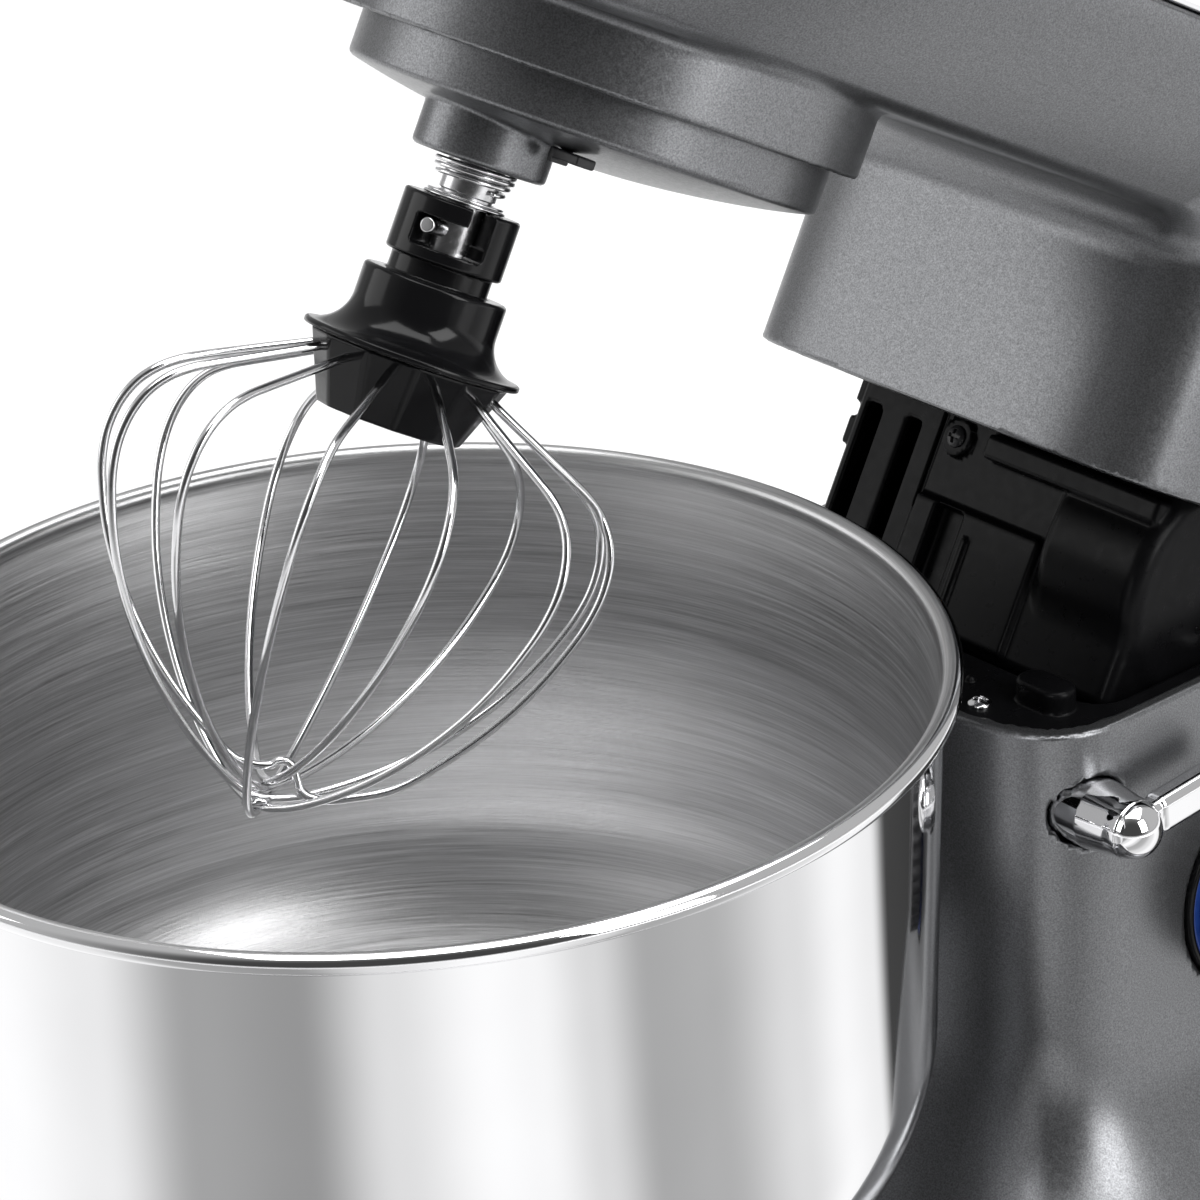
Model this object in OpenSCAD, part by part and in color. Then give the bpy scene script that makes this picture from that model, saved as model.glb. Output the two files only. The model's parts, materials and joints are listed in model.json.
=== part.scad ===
// Tilt-head stand mixer with bayonet bowl, planetary drive and balloon whisk.
// The head is drawn level, then swung up about its hinge by head_tilt.

/* [Stand] */
// Width of the column and of the neck above it
column_w = 130; // [124:1:136]
// Height of the column's top edge above the table
column_h = 169; // [165:1:172]
// Distance from the bowl's axis to the front of the column
column_front = 123; // [122:1:126]
// Distance from the bowl's axis to the back of the column
column_back = 270; // [268:1:276]
// Width of the base
base_w = 216; // [206:1:230]
// Height of the base's flat top
base_h = 40; // [39:1:41]
// Distance from the bowl's axis to the front of the base
base_front = 112; // [105:1:120]
// Distance from the bowl's axis to the back of the base
base_back = 288; // [287:1:294]

/* [Bowl] */
// Diameter over the bowl's rolled rim
bowl_d = 236; // [232:1:238]
// Height of the bowl's rim above the table
rim_h = 210; // [209:1:212]
// Thickness of the bowl's steel
bowl_wall = 1; // [0.8:0.1:1.4]

/* [Head] */
// Angle that the head is swung up
head_tilt = 30; // [0:1:30]
// Distance from the bowl's axis to the head's hinge
hinge_y = 237; // [235:1:240]
// Height of the head's hinge
hinge_h = 147; // [145:1:149]
// Width of the head at its trim band
head_w = 152; // [146:1:160]
// Diameter of the round turret under the head
turret_d = 112; // [110:1:114]
// Diameter of the planetary disc
disc_d = 101; // [99:0.5:102]

/* [Whisk] */
// Largest diameter of the whisk
whisk_d = 106; // [90:1:110]
// Diameter of the whisk's wire
wire_d = 1.7; // [1.4:0.1:2]
// Distance from the turret's underside to the whisk's tip
whisk_reach = 164; // [150:1:164]

/* [Colours] */
// Metallic paint on the stand and head
paint = "dimgray"; // [dimgray, silver, firebrick, ivory]
// Plastic of the tray, neck cover, knob and whisk hub
plastic = "#1c1c1e"; // [#1c1c1e, #4a4a4e, #e8e6e0]

/* [Hidden] */

eps = 0.01;
steel = "#c9ccd0";
dark_steel = "#8a8d92";
brass = "#c9a24b";
rubber = "#26272a";

// The outer box at the rest pose is centred on the row's origin by this shift along Y.
box_mid_y = 108.69;

// --- shared outlines -------------------------------------------------------

outline_steps = 72;

function sign_pow(v, p) = sign(v) * pow(abs(v), p);

// Closed outline with its widest place at y_mid; front and back bulge by their own exponents.
function egg(half_w, y_mid, front, back, n_front, n_back) = [
    for (i = [0:outline_steps - 1])
        let (a = 360 * i / outline_steps, n = sin(a) < 0 ? n_front : n_back)
        [half_w * sign_pow(cos(a), 2 / n),
         y_mid + (sin(a) < 0 ? y_mid - front : back - y_mid) * sign_pow(sin(a), 2 / n)]
];

function column_outline(inset) =
    egg(column_w / 2 - inset, column_front + 36, column_front + inset, column_back - inset, 4.1, 5);

function base_outline(inset) =
    egg(base_w / 2 - inset, 70, inset - base_front, base_back - inset, 2.4, 3.6);

function at_height(outline, z) = [for (p = outline) [p[0], p[1], z]];

// Solid skinned over rings of equal length, from the lowest ring to the highest.
module loft(rings) {
    n = len(rings[0]);
    top = len(rings) - 1;
    polyhedron(
        points = [for (r = rings) for (p = r) p],
        faces = concat(
            [[for (i = [0:n - 1]) i]],
            [for (k = [0:top - 1]) for (i = [0:n - 1])
                let (a = k * n + i, b = k * n + (i + 1) % n)
                each [[a + n, b, a], [a + n, b + n, b]]],
            [[for (i = [n - 1:-1:0]) top * n + i]]));
}

module prism(outline, z_low, z_high) {
    translate([0, 0, z_low])
        linear_extrude(z_high - z_low)
            polygon(outline);
}

// Drawn in the Y-Z plane and extruded across the machine.
module across(x_low, x_high) {
    translate([x_low, 0, 0])
        rotate([90, 0, 90])
            linear_extrude(x_high - x_low)
                children();
}

module rod_x(r, x_low, x_high) {
    translate([x_low, 0, 0])
        rotate([0, 90, 0])
            cylinder(r = r, h = x_high - x_low, $fn = 64);
}

module tube(r_out, r_in, z_low, z_high) {
    translate([0, 0, z_low])
        difference() {
            cylinder(r = r_out, h = z_high - z_low, $fn = 96);
            translate([0, 0, -1])
                cylinder(r = r_in, h = z_high - z_low + 2, $fn = 96);
        }
}

module disc(r, z_low, z_high) {
    translate([0, 0, z_low])
        cylinder(r = r, h = z_high - z_low, $fn = 96);
}

// Pan-head screw standing at the origin with its head up.
module screw(head_r, length) {
    cylinder(r = head_r, h = 2, $fn = 32);
    translate([0, 0, -length])
        cylinder(r = head_r * 0.5, h = length + eps, $fn = 32);
}

module mirrored_x() {
    children();
    mirror([1, 0, 0])
        children();
}

// --- places and poses ------------------------------------------------------

module on_stand() {
    translate([0, -box_mid_y, 0])
        children();
}

module on_head() {
    on_stand()
        translate([0, hinge_y, hinge_h])
            rotate([-head_tilt, 0, 0])
                translate([0, -hinge_y, -hinge_h])
                    children();
}

turret_z = rim_h + 2.4;
orbit_r = 28;
orbit_angle = -83;

module on_planet() {
    on_head()
        rotate([0, 0, orbit_angle])
            translate([orbit_r, 0, 0])
                rotate([0, 0, -orbit_angle])
                    children();
}

// --- stand -----------------------------------------------------------------

stand_wall = 3.5;
foot_h = 6;
cover_top_z = foot_h + 2.5;
flare_r = 54;
flare_steps = [0, 0.25, 0.5, 0.7, 0.8, 0.88, 0.94, 0.98, 1];

// The base's top stays level and turns up into the column over the last flare_r millimetres.
function flare_ring(k) = let (low = base_outline(16), high = column_outline(0)) [
    for (i = [0:outline_steps - 1])
        let (p = low[i] * (1 - k) + high[i] * k,
             near = max(0, flare_r - norm(high[i] - p)))
        [p[0], p[1], base_h + flare_r - sqrt(flare_r * flare_r - near * near)]
];

edge_profile = [[foot_h - 1, 5], [foot_h + 3, 1.5], [14, 0], [26, 0.6], [34, 4], [38, 9]];

lever_y = column_front + 17;
lever_z = column_h - 20;
knob_y = column_front + 69;
knob_z = column_h - 57;
knob_r = 23;
gland_z = 106;
tray_z = column_h - 2.5;
well_front = column_front + 28.5;
well_half_w = 54;
seat_r = 70;
seat_z = base_h - 6;

// Room for the neck's lower edge where it swings down behind the hinge.
module neck_swing_room() {
    across(-column_w, column_w)
        polygon([[hinge_y + 4, column_h + 1], [column_back + 30, column_h + 1],
                 [column_back + 30, column_h - 36], [hinge_y + 4, column_h - 1.5]]);
}

module stand_housing() color(paint) on_stand() {
    difference() {
        union() {
            loft(concat(
                [for (e = edge_profile) at_height(base_outline(e[1]), e[0])],
                [for (k = flare_steps) flare_ring(k)]));
            prism(column_outline(0), base_h + flare_r - eps, column_h);
        }
        prism(column_outline(stand_wall), 0, column_h + 1);
        prism(base_outline(8), 0, 26);
        prism(base_outline(20), 0, seat_z - 3);
        disc(seat_r, seat_z, base_h + 20);
        neck_swing_room();
        translate([0, lever_y, lever_z])
            rod_x(6, 50, 80);
        translate([0, knob_y, knob_z])
            rod_x(27.2, 63.5, 80);
        translate([0, knob_y, knob_z])
            rod_x(6, 50, 80);
        translate([0, column_back, gland_z])
            rotate([90, 0, 0])
                cylinder(r = 7.5, h = 30, center = true, $fn = 64);
    }
}

cover_post_places = [[-74, -30], [74, -30], [-84, 130], [84, 130], [-66, 246], [66, 246]];
foot_places = [[-60, -58], [60, -58], [-86, 60], [86, 60], [-76, 220], [76, 220]];

module base_cover() color(plastic) on_stand() {
    difference() {
        prism(base_outline(8.5), foot_h, cover_top_z);
        for (p = concat(cover_post_places, foot_places))
            translate([p[0], p[1], 0])
                cylinder(r = 2.6, h = 20, $fn = 32);
        for (x = [-30:12:30])
            translate([x - 2, 150, 0])
                cube([4, 70, 20]);
    }
}

module base_screws() color(steel) on_stand() {
    for (p = cover_post_places)
        translate([p[0], p[1], foot_h])
            mirror([0, 0, 1])
                screw(4, 12);
}

module suction_feet() color(rubber) on_stand() {
    for (p = foot_places)
        translate([p[0], p[1], 0]) {
            difference() {
                cylinder(r1 = 15, r2 = 9, h = foot_h, $fn = 64);
                translate([0, 0, -eps])
                    cylinder(r1 = 12, r2 = 3, h = 2.5, $fn = 64);
            }
            cylinder(r = 2.5, h = foot_h + 6, $fn = 32);
        }
}

lug_r = 64;
lip_angle = 28;
lug_z = seat_z + 1.8;
lug_t = 1.6;

// Three arms of a bayonet ring, each arm_angle wide.
module bayonet_arms(r_in, r_out, z_low, z_high, arm_angle, turn) {
    for (i = [0:2])
        rotate([0, 0, i * 120 + turn])
            translate([0, 0, z_low])
                rotate_extrude(angle = arm_angle, $fn = 96)
                    translate([r_in, 0])
                        square([r_out - r_in, z_high - z_low]);
}

module bowl_seat() color(dark_steel) on_stand() {
    disc(seat_r - 0.4, seat_z, seat_z + 1.6);
    tube(seat_r - 0.4, seat_r - 3.4, seat_z + 1.5, base_h + 1);
    bayonet_arms(60.5, seat_r - 3, lug_z + lug_t + 0.3, lug_z + lug_t + 2.3, lip_angle, 0);
}

module tray_well() {
    across(-well_half_w, well_half_w)
        polygon([[well_front, 100], [well_front, column_h + 5], [column_back + 5, column_h + 5],
                 [column_back + 5, 100]]);
}

module stadium_peg(length, width, height) {
    mirrored_x()
        translate([(length - width) / 2, 0, 0])
            cylinder(d = width, h = height, $fn = 48);
    translate([(width - length) / 2, -width / 2, 0])
        cube([length - width, width, height]);
}

module column_tray() color(plastic) on_stand() {
    difference() {
        prism(column_outline(stand_wall + 0.2), tray_z - 3, tray_z);
        tray_well();
        neck_swing_room();
        for (p = tray_screw_places)
            translate([p[0], p[1], 0])
                cylinder(r = 1.6, h = 300, $fn = 32);
    }
    mirrored_x()
        translate([43, column_front + 22.5, tray_z - 1])
            stadium_peg(18, 9, 7);
}

tray_screw_places = [[-33, column_front + 12.5], [33, column_front + 12.5], [-57.6, 190], [57.6, 190]];

module tray_screws() color(steel) on_stand() {
    for (p = tray_screw_places)
        translate([p[0], p[1], tray_z])
            screw(2.8, 9);
}

hinge_pin_r = 5;
ear_x = 52;
ear_t = 3;
ear_half_w = 10;

module hinge_bracket() color(dark_steel) on_stand() {
    difference() {
        union() {
            mirrored_x()
                translate([ear_x, hinge_y - ear_half_w, cover_top_z])
                    cube([ear_t, 2 * ear_half_w, hinge_h + 9 - cover_top_z]);
            translate([-ear_x - ear_t, hinge_y - ear_half_w, cover_top_z])
                cube([2 * (ear_x + ear_t), 2 * ear_half_w, 3]);
        }
        translate([0, hinge_y, hinge_h])
            rod_x(hinge_pin_r, -80, 80);
    }
}

module hinge_pin() color(steel) on_stand() {
    translate([0, hinge_y, hinge_h]) {
        rod_x(hinge_pin_r, -ear_x - ear_t - 1, ear_x + ear_t + 1);
        mirrored_x()
            rod_x(6.5, ear_x + ear_t + 0.1, ear_x + ear_t + 1.3);
    }
}

bolt_z = lever_z - 15;
bolt_w = 12;
bolt_h = 8;
bolt_tip_y = well_front + 1;
bolt_len = 16;

module latch_bracket() color(dark_steel) on_stand() {
    difference() {
        union() {
            translate([-14, column_front + 10, bolt_z - 8])
                cube([28, 13, 16]);
            mirrored_x()
                translate([9, column_front + 10, bolt_z + 7])
                    cube([5, 13, tray_z - 3 - bolt_z - 7]);
        }
        translate([-bolt_w / 2 - 0.3, 0, bolt_z - bolt_h / 2 - 0.3])
            cube([bolt_w + 0.6, 300, bolt_h + 0.6]);
    }
}

module latch_bolt() color(steel) on_stand() {
    across(-bolt_w / 2, bolt_w / 2)
        polygon([[bolt_tip_y - bolt_len, bolt_z - bolt_h / 2], [bolt_tip_y, bolt_z - bolt_h / 2],
                 [bolt_tip_y, bolt_z], [bolt_tip_y - 4, bolt_z + bolt_h / 2],
                 [bolt_tip_y - bolt_len, bolt_z + bolt_h / 2]]);
}

// Round wire wound on a helix: turns, radii at both ends and height, standing on its lower end.
module coil(r_low, r_high, wire_r, height, turns) {
    steps = turns * 16;
    sides = 6;
    loft([for (s = [0:steps])
        let (a = 360 * turns * s / steps, r = r_low + (r_high - r_low) * s / steps)
        [for (j = [0:sides - 1])
            let (b = -360 * j / sides, d = r + wire_r * cos(b))
            [d * cos(a), d * sin(a), height * s / steps + wire_r * sin(b)]]]);
}

module latch_spring() color(steel) on_stand() {
    translate([0, bolt_tip_y - bolt_len - 0.5, bolt_z])
        rotate([90, 0, 0])
            coil(2.8, 2.8, 0.4, bolt_tip_y - bolt_len - column_front - stand_wall - 1, 4);
}

module lever_bushing() color(plastic) on_stand() {
    translate([0, lever_y, lever_z])
        difference() {
            rod_x(5.9, 56, 64.2);
            rod_x(4.06, 50, 70);
        }
}

hub_base_x = column_w / 2 + 0.3;
hub_x = 74.5;
hub_r = 6.9;
lever_len = 36;
bar_w = 6;
bar_h = 9;

module lever_arm() color(steel) on_stand() {
    translate([0, lever_y, lever_z]) {
        translate([hub_base_x, 0, 0])
            rotate([0, 90, 0])
                cylinder(r1 = 8.1, r2 = hub_r, h = hub_x - hub_base_x, $fn = 96);
        translate([hub_x, 0, 0])
            sphere(r = hub_r, $fn = 96);
        translate([hub_x - bar_w / 2, 0, 0])
            rotate([5, 0, 0])
                rotate([90, 0, 90])
                    linear_extrude(bar_w) {
                        translate([0, -bar_h / 2])
                            square([lever_len - bar_h / 2, bar_h]);
                        translate([lever_len - bar_h / 2, 0])
                            circle(d = bar_h, $fn = 64);
                    }
    }
}

module lever_shaft() color(dark_steel) on_stand() {
    translate([0, lever_y, lever_z]) {
        rod_x(4, 16, hub_base_x);
        across(16, 20) {
            circle(r = 7, $fn = 48);
            translate([-3, -12.5])
                square([6, 12.5]);
        }
    }
}

module knob_bezel() color(plastic) on_stand() {
    translate([0, knob_y, knob_z])
        difference() {
            rod_x(27, 63.6, 66.4);
            rod_x(24.6, 64.6, 80);
            rod_x(5.8, 60, 80);
        }
}

module knob_light_ring() color("#2f66c8") on_stand() {
    translate([0, knob_y, knob_z])
        difference() {
            rod_x(24.5, 64.7, 65.9);
            rod_x(21.8, 60, 80);
        }
}

knob_x = 66.4;
knob_h = 15;

module speed_knob() color(plastic) on_stand() {
    translate([0, knob_y, knob_z])
        difference() {
            union() {
                rod_x(knob_r, knob_x, knob_x + knob_h - 3);
                translate([knob_x + knob_h - 3 - eps, 0, 0])
                    rotate([0, 90, 0])
                        cylinder(r1 = knob_r, r2 = knob_r - 3, h = 3, $fn = 96);
                translate([knob_x + knob_h - 1, -2.5, -knob_r + 3])
                    cube([4, 5, 2 * knob_r - 6]);
            }
            rod_x(3.05, knob_x - 1, knob_x + 9);
        }
}

module knob_shaft() color(steel) on_stand() {
    translate([0, knob_y, knob_z])
        rod_x(3.05, 53, knob_x + 9);
}

module speed_switch() color(plastic) on_stand() {
    translate([0, knob_y, knob_z])
        difference() {
            translate([52.5, -15, -15])
                cube([61 - 52.5, 30, 30]);
            rod_x(3.12, 40, 80);
        }
}

module control_board() color("#1f5c38") on_stand() {
    translate([-40, 160, 24])
        cube([80, 60, 1.6]);
    translate([-30, 170, 25.6])
        cube([22, 16, 9]);
    translate([4, 174, 25.6])
        cylinder(r = 7, h = 13, $fn = 48);
    translate([20, 196, 25.6])
        cube([14, 14, 8]);
    for (x = [-36, 36])
        for (y = [164, 216])
            translate([x, y, cover_top_z])
                cylinder(r = 2.5, h = 24 - cover_top_z, $fn = 32);
}

module cord_gland() color(rubber) on_stand() {
    translate([0, column_back, gland_z])
        rotate([-90, 0, 0])
            difference() {
                union() {
                    translate([0, 0, -8])
                        cylinder(r = 7.4, h = 9, $fn = 64);
                    cylinder(r = 10, h = 1.6, $fn = 64);
                }
                translate([0, 0, -10])
                    cylinder(r = 3.6, h = 20, $fn = 64);
            }
}

// --- head ------------------------------------------------------------------

shell_wall = 3;
neck_gap = 1.7;
neck_z = column_h + neck_gap;
trim_z = turret_z + 54.6;
trim_h = 12;
floor_z = turret_z + 14;
head_front = -94;

function head_outline(inset) =
    egg(head_w / 2 - inset, 20, head_front + inset, column_back + 1 - inset, 2.5, 5);

belly_profile = [[floor_z, 20], [floor_z + 5, 14], [floor_z + 16, 7], [floor_z + 28, 2.5], [trim_z, 0]];
dome_profile = [[0, 0.3], [9, 2.5], [18, 7], [26, 14], [31, 22], [34.5, 34], [36, 48]];

function belly_rings(inset) = [for (p = belly_profile) at_height(head_outline(p[1] + inset), p[0])];

module head_lower_shell() color(paint) on_head() {
    difference() {
        union() {
            loft(belly_rings(0));
            disc(turret_d / 2, turret_z, floor_z + 10);
            prism(column_outline(0), neck_z, trim_z);
        }
        translate([0, 0, shell_wall])
            loft(belly_rings(shell_wall));
        disc(turret_d / 2 - shell_wall, turret_z - 1, floor_z + 12);
        prism(column_outline(shell_wall), neck_z - 1, trim_z + 1);
        mirrored_x()
            translate([44, 68, turret_z - 5])
                cylinder(r = 3, h = 40, $fn = 48);
    }
}

module head_upper_shell() color(paint) on_head() {
    z0 = trim_z + trim_h;
    difference() {
        loft([for (p = dome_profile) at_height(head_outline(p[1]), z0 + p[0])]);
        translate([0, 0, -shell_wall])
            loft([for (p = dome_profile) at_height(head_outline(p[1] + shell_wall), z0 + p[0])]);
    }
}

module trim_band() color(steel) on_head() {
    difference() {
        prism(head_outline(0), trim_z, trim_z + trim_h);
        prism(head_outline(shell_wall), trim_z - 1, trim_z + trim_h + 1);
    }
}

cover_half_w = 50;
cover_front = column_front + 36;
cover_floor = 120;
cover_top = neck_z + 13;
drum_r = 20;

// Side outline of the neck cover: upright front, and a drum about the hinge at the back.
function cover_side(inset) = concat(
    [[cover_front + inset, cover_top + (inset > 0 ? 1 : 0)], [cover_front + inset, cover_floor + inset],
     [hinge_y - 30, cover_floor - 3 + inset]],
    [for (a = [-90:11:42])
        [hinge_y + (drum_r - inset) * cos(a), hinge_h + (drum_r - inset) * sin(a)]],
    [[hinge_y + drum_r - 2 - inset, cover_top + (inset > 0 ? 1 : 0)]]);

slot_w = 5;
slot_xs = [-44, -31];

module neck_cover() color(plastic) on_head() {
    difference() {
        union() {
            intersection() {
                across(-cover_half_w, cover_half_w)
                    polygon(cover_side(0));
                prism(column_outline(11), 0, 400);
            }
            translate([0, cover_front + 22, cover_floor + 32])
                rod_x(27, 20, cover_half_w + 2);
        }
        intersection() {
            across(-cover_half_w + 2.5, cover_half_w - 2.5)
                polygon(cover_side(2.5));
            prism(column_outline(13.5), 0, 400);
        }
        translate([0, hinge_y, hinge_h])
            rod_x(7.5, -70, 70);
        for (x = slot_xs)
            translate([x - slot_w / 2, cover_front - 5, cover_floor + 8])
                cube([slot_w, 15, 36]);
        translate([cover_screw_x, cover_front + 10, neck_z - 6])
            rotate([90, 0, 0])
                cylinder(r = 1.35, h = 20, $fn = 32);
    }
}

cover_screw_x = -16;

module neck_cover_screw() color(dark_steel) on_head() {
    translate([cover_screw_x, cover_front, neck_z - 6])
        rotate([90, 0, 0])
            screw(2.6, 6);
}

arm_x = 35;
arm_t = 4;
arm_half_w = 11;
chassis_z = turret_z + 56;
chassis_t = 4;

module hinge_arms() color(dark_steel) on_head() {
    difference() {
        mirrored_x()
            across(arm_x, arm_x + arm_t) {
                translate([hinge_y, hinge_h])
                    circle(r = arm_half_w, $fn = 64);
                translate([hinge_y - arm_half_w, hinge_h])
                    square([2 * arm_half_w, chassis_z - hinge_h]);
            }
        translate([0, hinge_y, hinge_h])
            rod_x(hinge_pin_r + 0.05, -80, 80);
    }
}

motor_y = 165;
counter_y = 56.25;
centre_shaft_r = 8;

module chassis_plate() color(dark_steel) on_head() {
    difference() {
        translate([-46, -36, chassis_z])
            cube([92, hinge_y + 52, chassis_t]);
        disc(12, 0, 400);
        translate([0, counter_y, 0])
            disc(4.06, 0, 400);
        translate([0, motor_y, 0])
            disc(12, 0, 400);
        for (p = chassis_screw_places)
            translate([p[0], p[1], 0])
                disc(2.1, 0, 400);
    }
}

chassis_screw_places = [[-40, 52], [40, 52], [-40, 110], [40, 110], [-30, 205], [30, 205]];

module chassis_screws() color(steel) on_head() {
    for (p = chassis_screw_places)
        translate([p[0], p[1], chassis_z + chassis_t])
            screw(4.2, 12);
}

gear_z = turret_z + 5.2;
gear_h = 10;
case_floor = gear_z + gear_h + 1.5;
bearing_r = 14;

module gearbox_case() color(dark_steel) on_head() {
    difference() {
        union() {
            disc(51.5, case_floor, case_floor + 4);
            disc(21.5, case_floor, chassis_z);
        }
        disc(bearing_r, case_floor - 1, case_floor + 9);
        disc(centre_shaft_r + 1, case_floor, chassis_z);
        disc(bearing_r, chassis_z - 9, chassis_z + 1);
    }
}

module bearing(z_low) {
    tube(bearing_r, centre_shaft_r + 0.05, z_low, z_low + 8);
}

module lower_bearing() color(steel) on_head() {
    bearing(case_floor + 1);
}

module upper_bearing() color(steel) on_head() {
    bearing(chassis_z - 8.5);
}

motor_low = 204;
motor_high = chassis_z;
stator_low = motor_low + 9;
stator_high = motor_high - 14;
rotor_r = 21;

module on_motor() {
    on_head()
        translate([0, motor_y, 0])
            children();
}

module motor_stator() color("#6b5a4a") on_motor() {
    difference() {
        tube(36, rotor_r + 0.6, stator_low, stator_high);
        mirrored_x()
            translate([33, -50, 0])
                cube([10, 100, 400]);
    }
}

module motor_bracket(z_low, z_high) {
    difference() {
        translate([-34, -11, z_low])
            cube([68, 22, z_high - z_low]);
        disc(rotor_r + 2, z_low + 3, z_high + 1);
        disc(3.06, z_low - 1, z_high + 1);
    }
}

module motor_bottom_bracket() color(dark_steel) on_motor() {
    motor_bracket(motor_low, stator_low);
}

module motor_top_bracket() color(dark_steel) on_motor() {
    mirror([0, 0, 1])
        motor_bracket(-motor_high, -stator_high);
}

module brush_holders() color(brass) on_motor() {
    mirrored_x()
        translate([11.5, -4, stator_high + 1.5])
            cube([11, 8, 7]);
}

motor_pulley_r = 8;
belt_pulley_r = 38;
belt_z = chassis_z + 17;
belt_h = 8;
belt_t = 2;

module motor_rotor() color("#a87f52") on_motor() {
    disc(3, motor_low - 15, belt_z + belt_h + 1);
    disc(rotor_r, stator_low + 1, stator_high - 1);
    disc(11, stator_high - eps - 1, stator_high + 10);
}

module motor_fan() color(plastic) on_motor() {
    difference() {
        union() {
            disc(29, motor_low - 4, motor_low - 2);
            disc(6, motor_low - 14, motor_low - 2);
            for (i = [0:8])
                rotate([0, 0, i * 40])
                    translate([4, -0.8, motor_low - 13])
                        cube([24, 1.6, 10]);
        }
        disc(3, 0, 400);
    }
}

module flanged_pulley(r, bore_r) {
    difference() {
        union() {
            disc(r - belt_t - 0.3, belt_z, belt_z + belt_h);
            disc(r + 0.5, belt_z - 1.5, belt_z - 0.3);
            disc(r + 0.5, belt_z + belt_h + 0.3, belt_z + belt_h + 1.5);
            disc(bore_r + 2, belt_z - 1, belt_z + belt_h + 1);
        }
        disc(bore_r, 0, 400);
    }
}

module motor_pulley() color(steel) on_motor() {
    flanged_pulley(motor_pulley_r, 3);
}

// Outline of a band stretched round two circles, the second one gap away along Y.
function band_outline(r_a, r_b, gap) = let (s = asin((r_a - r_b) / gap), steps = 24) concat(
    [for (i = [0:steps]) let (a = s - (180 + 2 * s) * i / steps) [r_a * cos(a), r_a * sin(a)]],
    [for (i = [0:steps]) let (a = 180 - s - (180 - 2 * s) * i / steps)
        [r_b * cos(a), gap + r_b * sin(a)]]);

module drive_belt() color(rubber) on_head() {
    translate([0, counter_y, belt_z + 0.3])
        linear_extrude(belt_h - 0.6)
            difference() {
                polygon(band_outline(belt_pulley_r, motor_pulley_r, motor_y - counter_y));
                polygon(band_outline(belt_pulley_r - belt_t, motor_pulley_r - belt_t,
                                     motor_y - counter_y));
            }
}

// --- gears -----------------------------------------------------------------

pressure_angle = 20;

function involute_point(base_r, r) =
    let (roll = sqrt(pow(r / base_r, 2) - 1) * 180 / PI,
         polar = roll - atan(roll * PI / 180))
    polar;

// Involute gear outline with a tooth centred on +X; backlash thins the teeth at the pitch line.
function gear_outline(teeth, pitch, addendum, dedendum, backlash) =
    let (r = teeth * pitch / 2,
         base_r = r * cos(pressure_angle),
         root_r = r - dedendum,
         tip_r = r + addendum,
         start_r = max(base_r, root_r),
         half = 90 / teeth - backlash / r * 90 / PI + involute_point(base_r, r),
         flank = [for (s = [0:3]) start_r + (tip_r - start_r) * s / 3],
         up = [for (f = flank) [f, half - involute_point(base_r, f)]],
         down = [for (s = [3:-1:0]) up[s]])
    [for (i = [0:teeth - 1])
        let (mid = 360 * i / teeth)
        each concat(
            [[root_r * cos(mid - half), root_r * sin(mid - half)]],
            [for (p = up) [p[0] * cos(mid - p[1]), p[0] * sin(mid - p[1])]],
            [for (p = down) [p[0] * cos(mid + p[1]), p[0] * sin(mid + p[1])]],
            [[root_r * cos(mid + half), root_r * sin(mid + half)]])];

module spur_gear(teeth, pitch, z_low, z_high, bore_r) {
    difference() {
        translate([0, 0, z_low])
            linear_extrude(z_high - z_low)
                polygon(gear_outline(teeth, pitch, pitch, 1.25 * pitch, 0.2));
        disc(bore_r, z_low - 1, z_high + 1);
    }
}

planet_pitch = 1.4;
planet_teeth = 21;
ring_teeth = 61;
train_pitch = 1.5;
pinion_teeth = 13;
main_teeth = 62;
train_z = chassis_z + chassis_t + 1;
train_h = 9;

module ring_gear() color(dark_steel) on_head() {
    difference() {
        disc(50.5, gear_z - 0.5, case_floor);
        rotate([0, 0, orbit_angle])
            translate([0, 0, gear_z - 1])
                linear_extrude(gear_h + 5)
                    polygon(gear_outline(ring_teeth, planet_pitch, 1.25 * planet_pitch,
                                         planet_pitch, -0.2));
    }
}

module planet_gear() color(steel) on_planet() {
    rotate([0, 0, orbit_angle])
        spur_gear(planet_teeth, planet_pitch, gear_z, gear_z + gear_h - 1, 5);
}

module main_gear() color("#d8d4c4") on_head() {
    rotate([0, 0, 90 + 180 / main_teeth])
        difference() {
            spur_gear(main_teeth, train_pitch, train_z, train_z + train_h, centre_shaft_r - 1);
            for (i = [0:5])
                rotate([0, 0, i * 60])
                    translate([28, 0, 0])
                        disc(8, 0, 400);
        }
}

module counter_pinion() color(steel) on_head() {
    translate([0, counter_y, 0]) {
        rotate([0, 0, -90])
            spur_gear(pinion_teeth, train_pitch, train_z - 0.4, train_z + train_h, 3.9);
        disc(4, chassis_z - 8, belt_z + belt_h + 2);
    }
}

module belt_pulley() color("#3a3b40") on_head() {
    translate([0, counter_y, 0])
        flanged_pulley(belt_pulley_r, 4);
}

// --- planetary disc and beater shaft ---------------------------------------

disc_z = turret_z - 9.7;
boss_z = turret_z - 21.8;
boss_r = 14.1;
dome_h = 6;
shaft_r = 5.95;

module planetary_disc() color(paint) {
    difference() {
        union() {
            on_head() {
                disc(disc_d / 2, disc_z, turret_z + 3);
                translate([0, 0, disc_z - dome_h])
                    cylinder(r1 = disc_d / 2 - 24, r2 = disc_d / 2 - 1, h = dome_h + eps, $fn = 96);
            }
            on_planet()
                disc(boss_r, boss_z, turret_z);
        }
        on_head()
            disc(centre_shaft_r - 1, turret_z - 8, 400);
        on_planet()
            disc(shaft_r + 0.05, 0, 400);
    }
}

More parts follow.
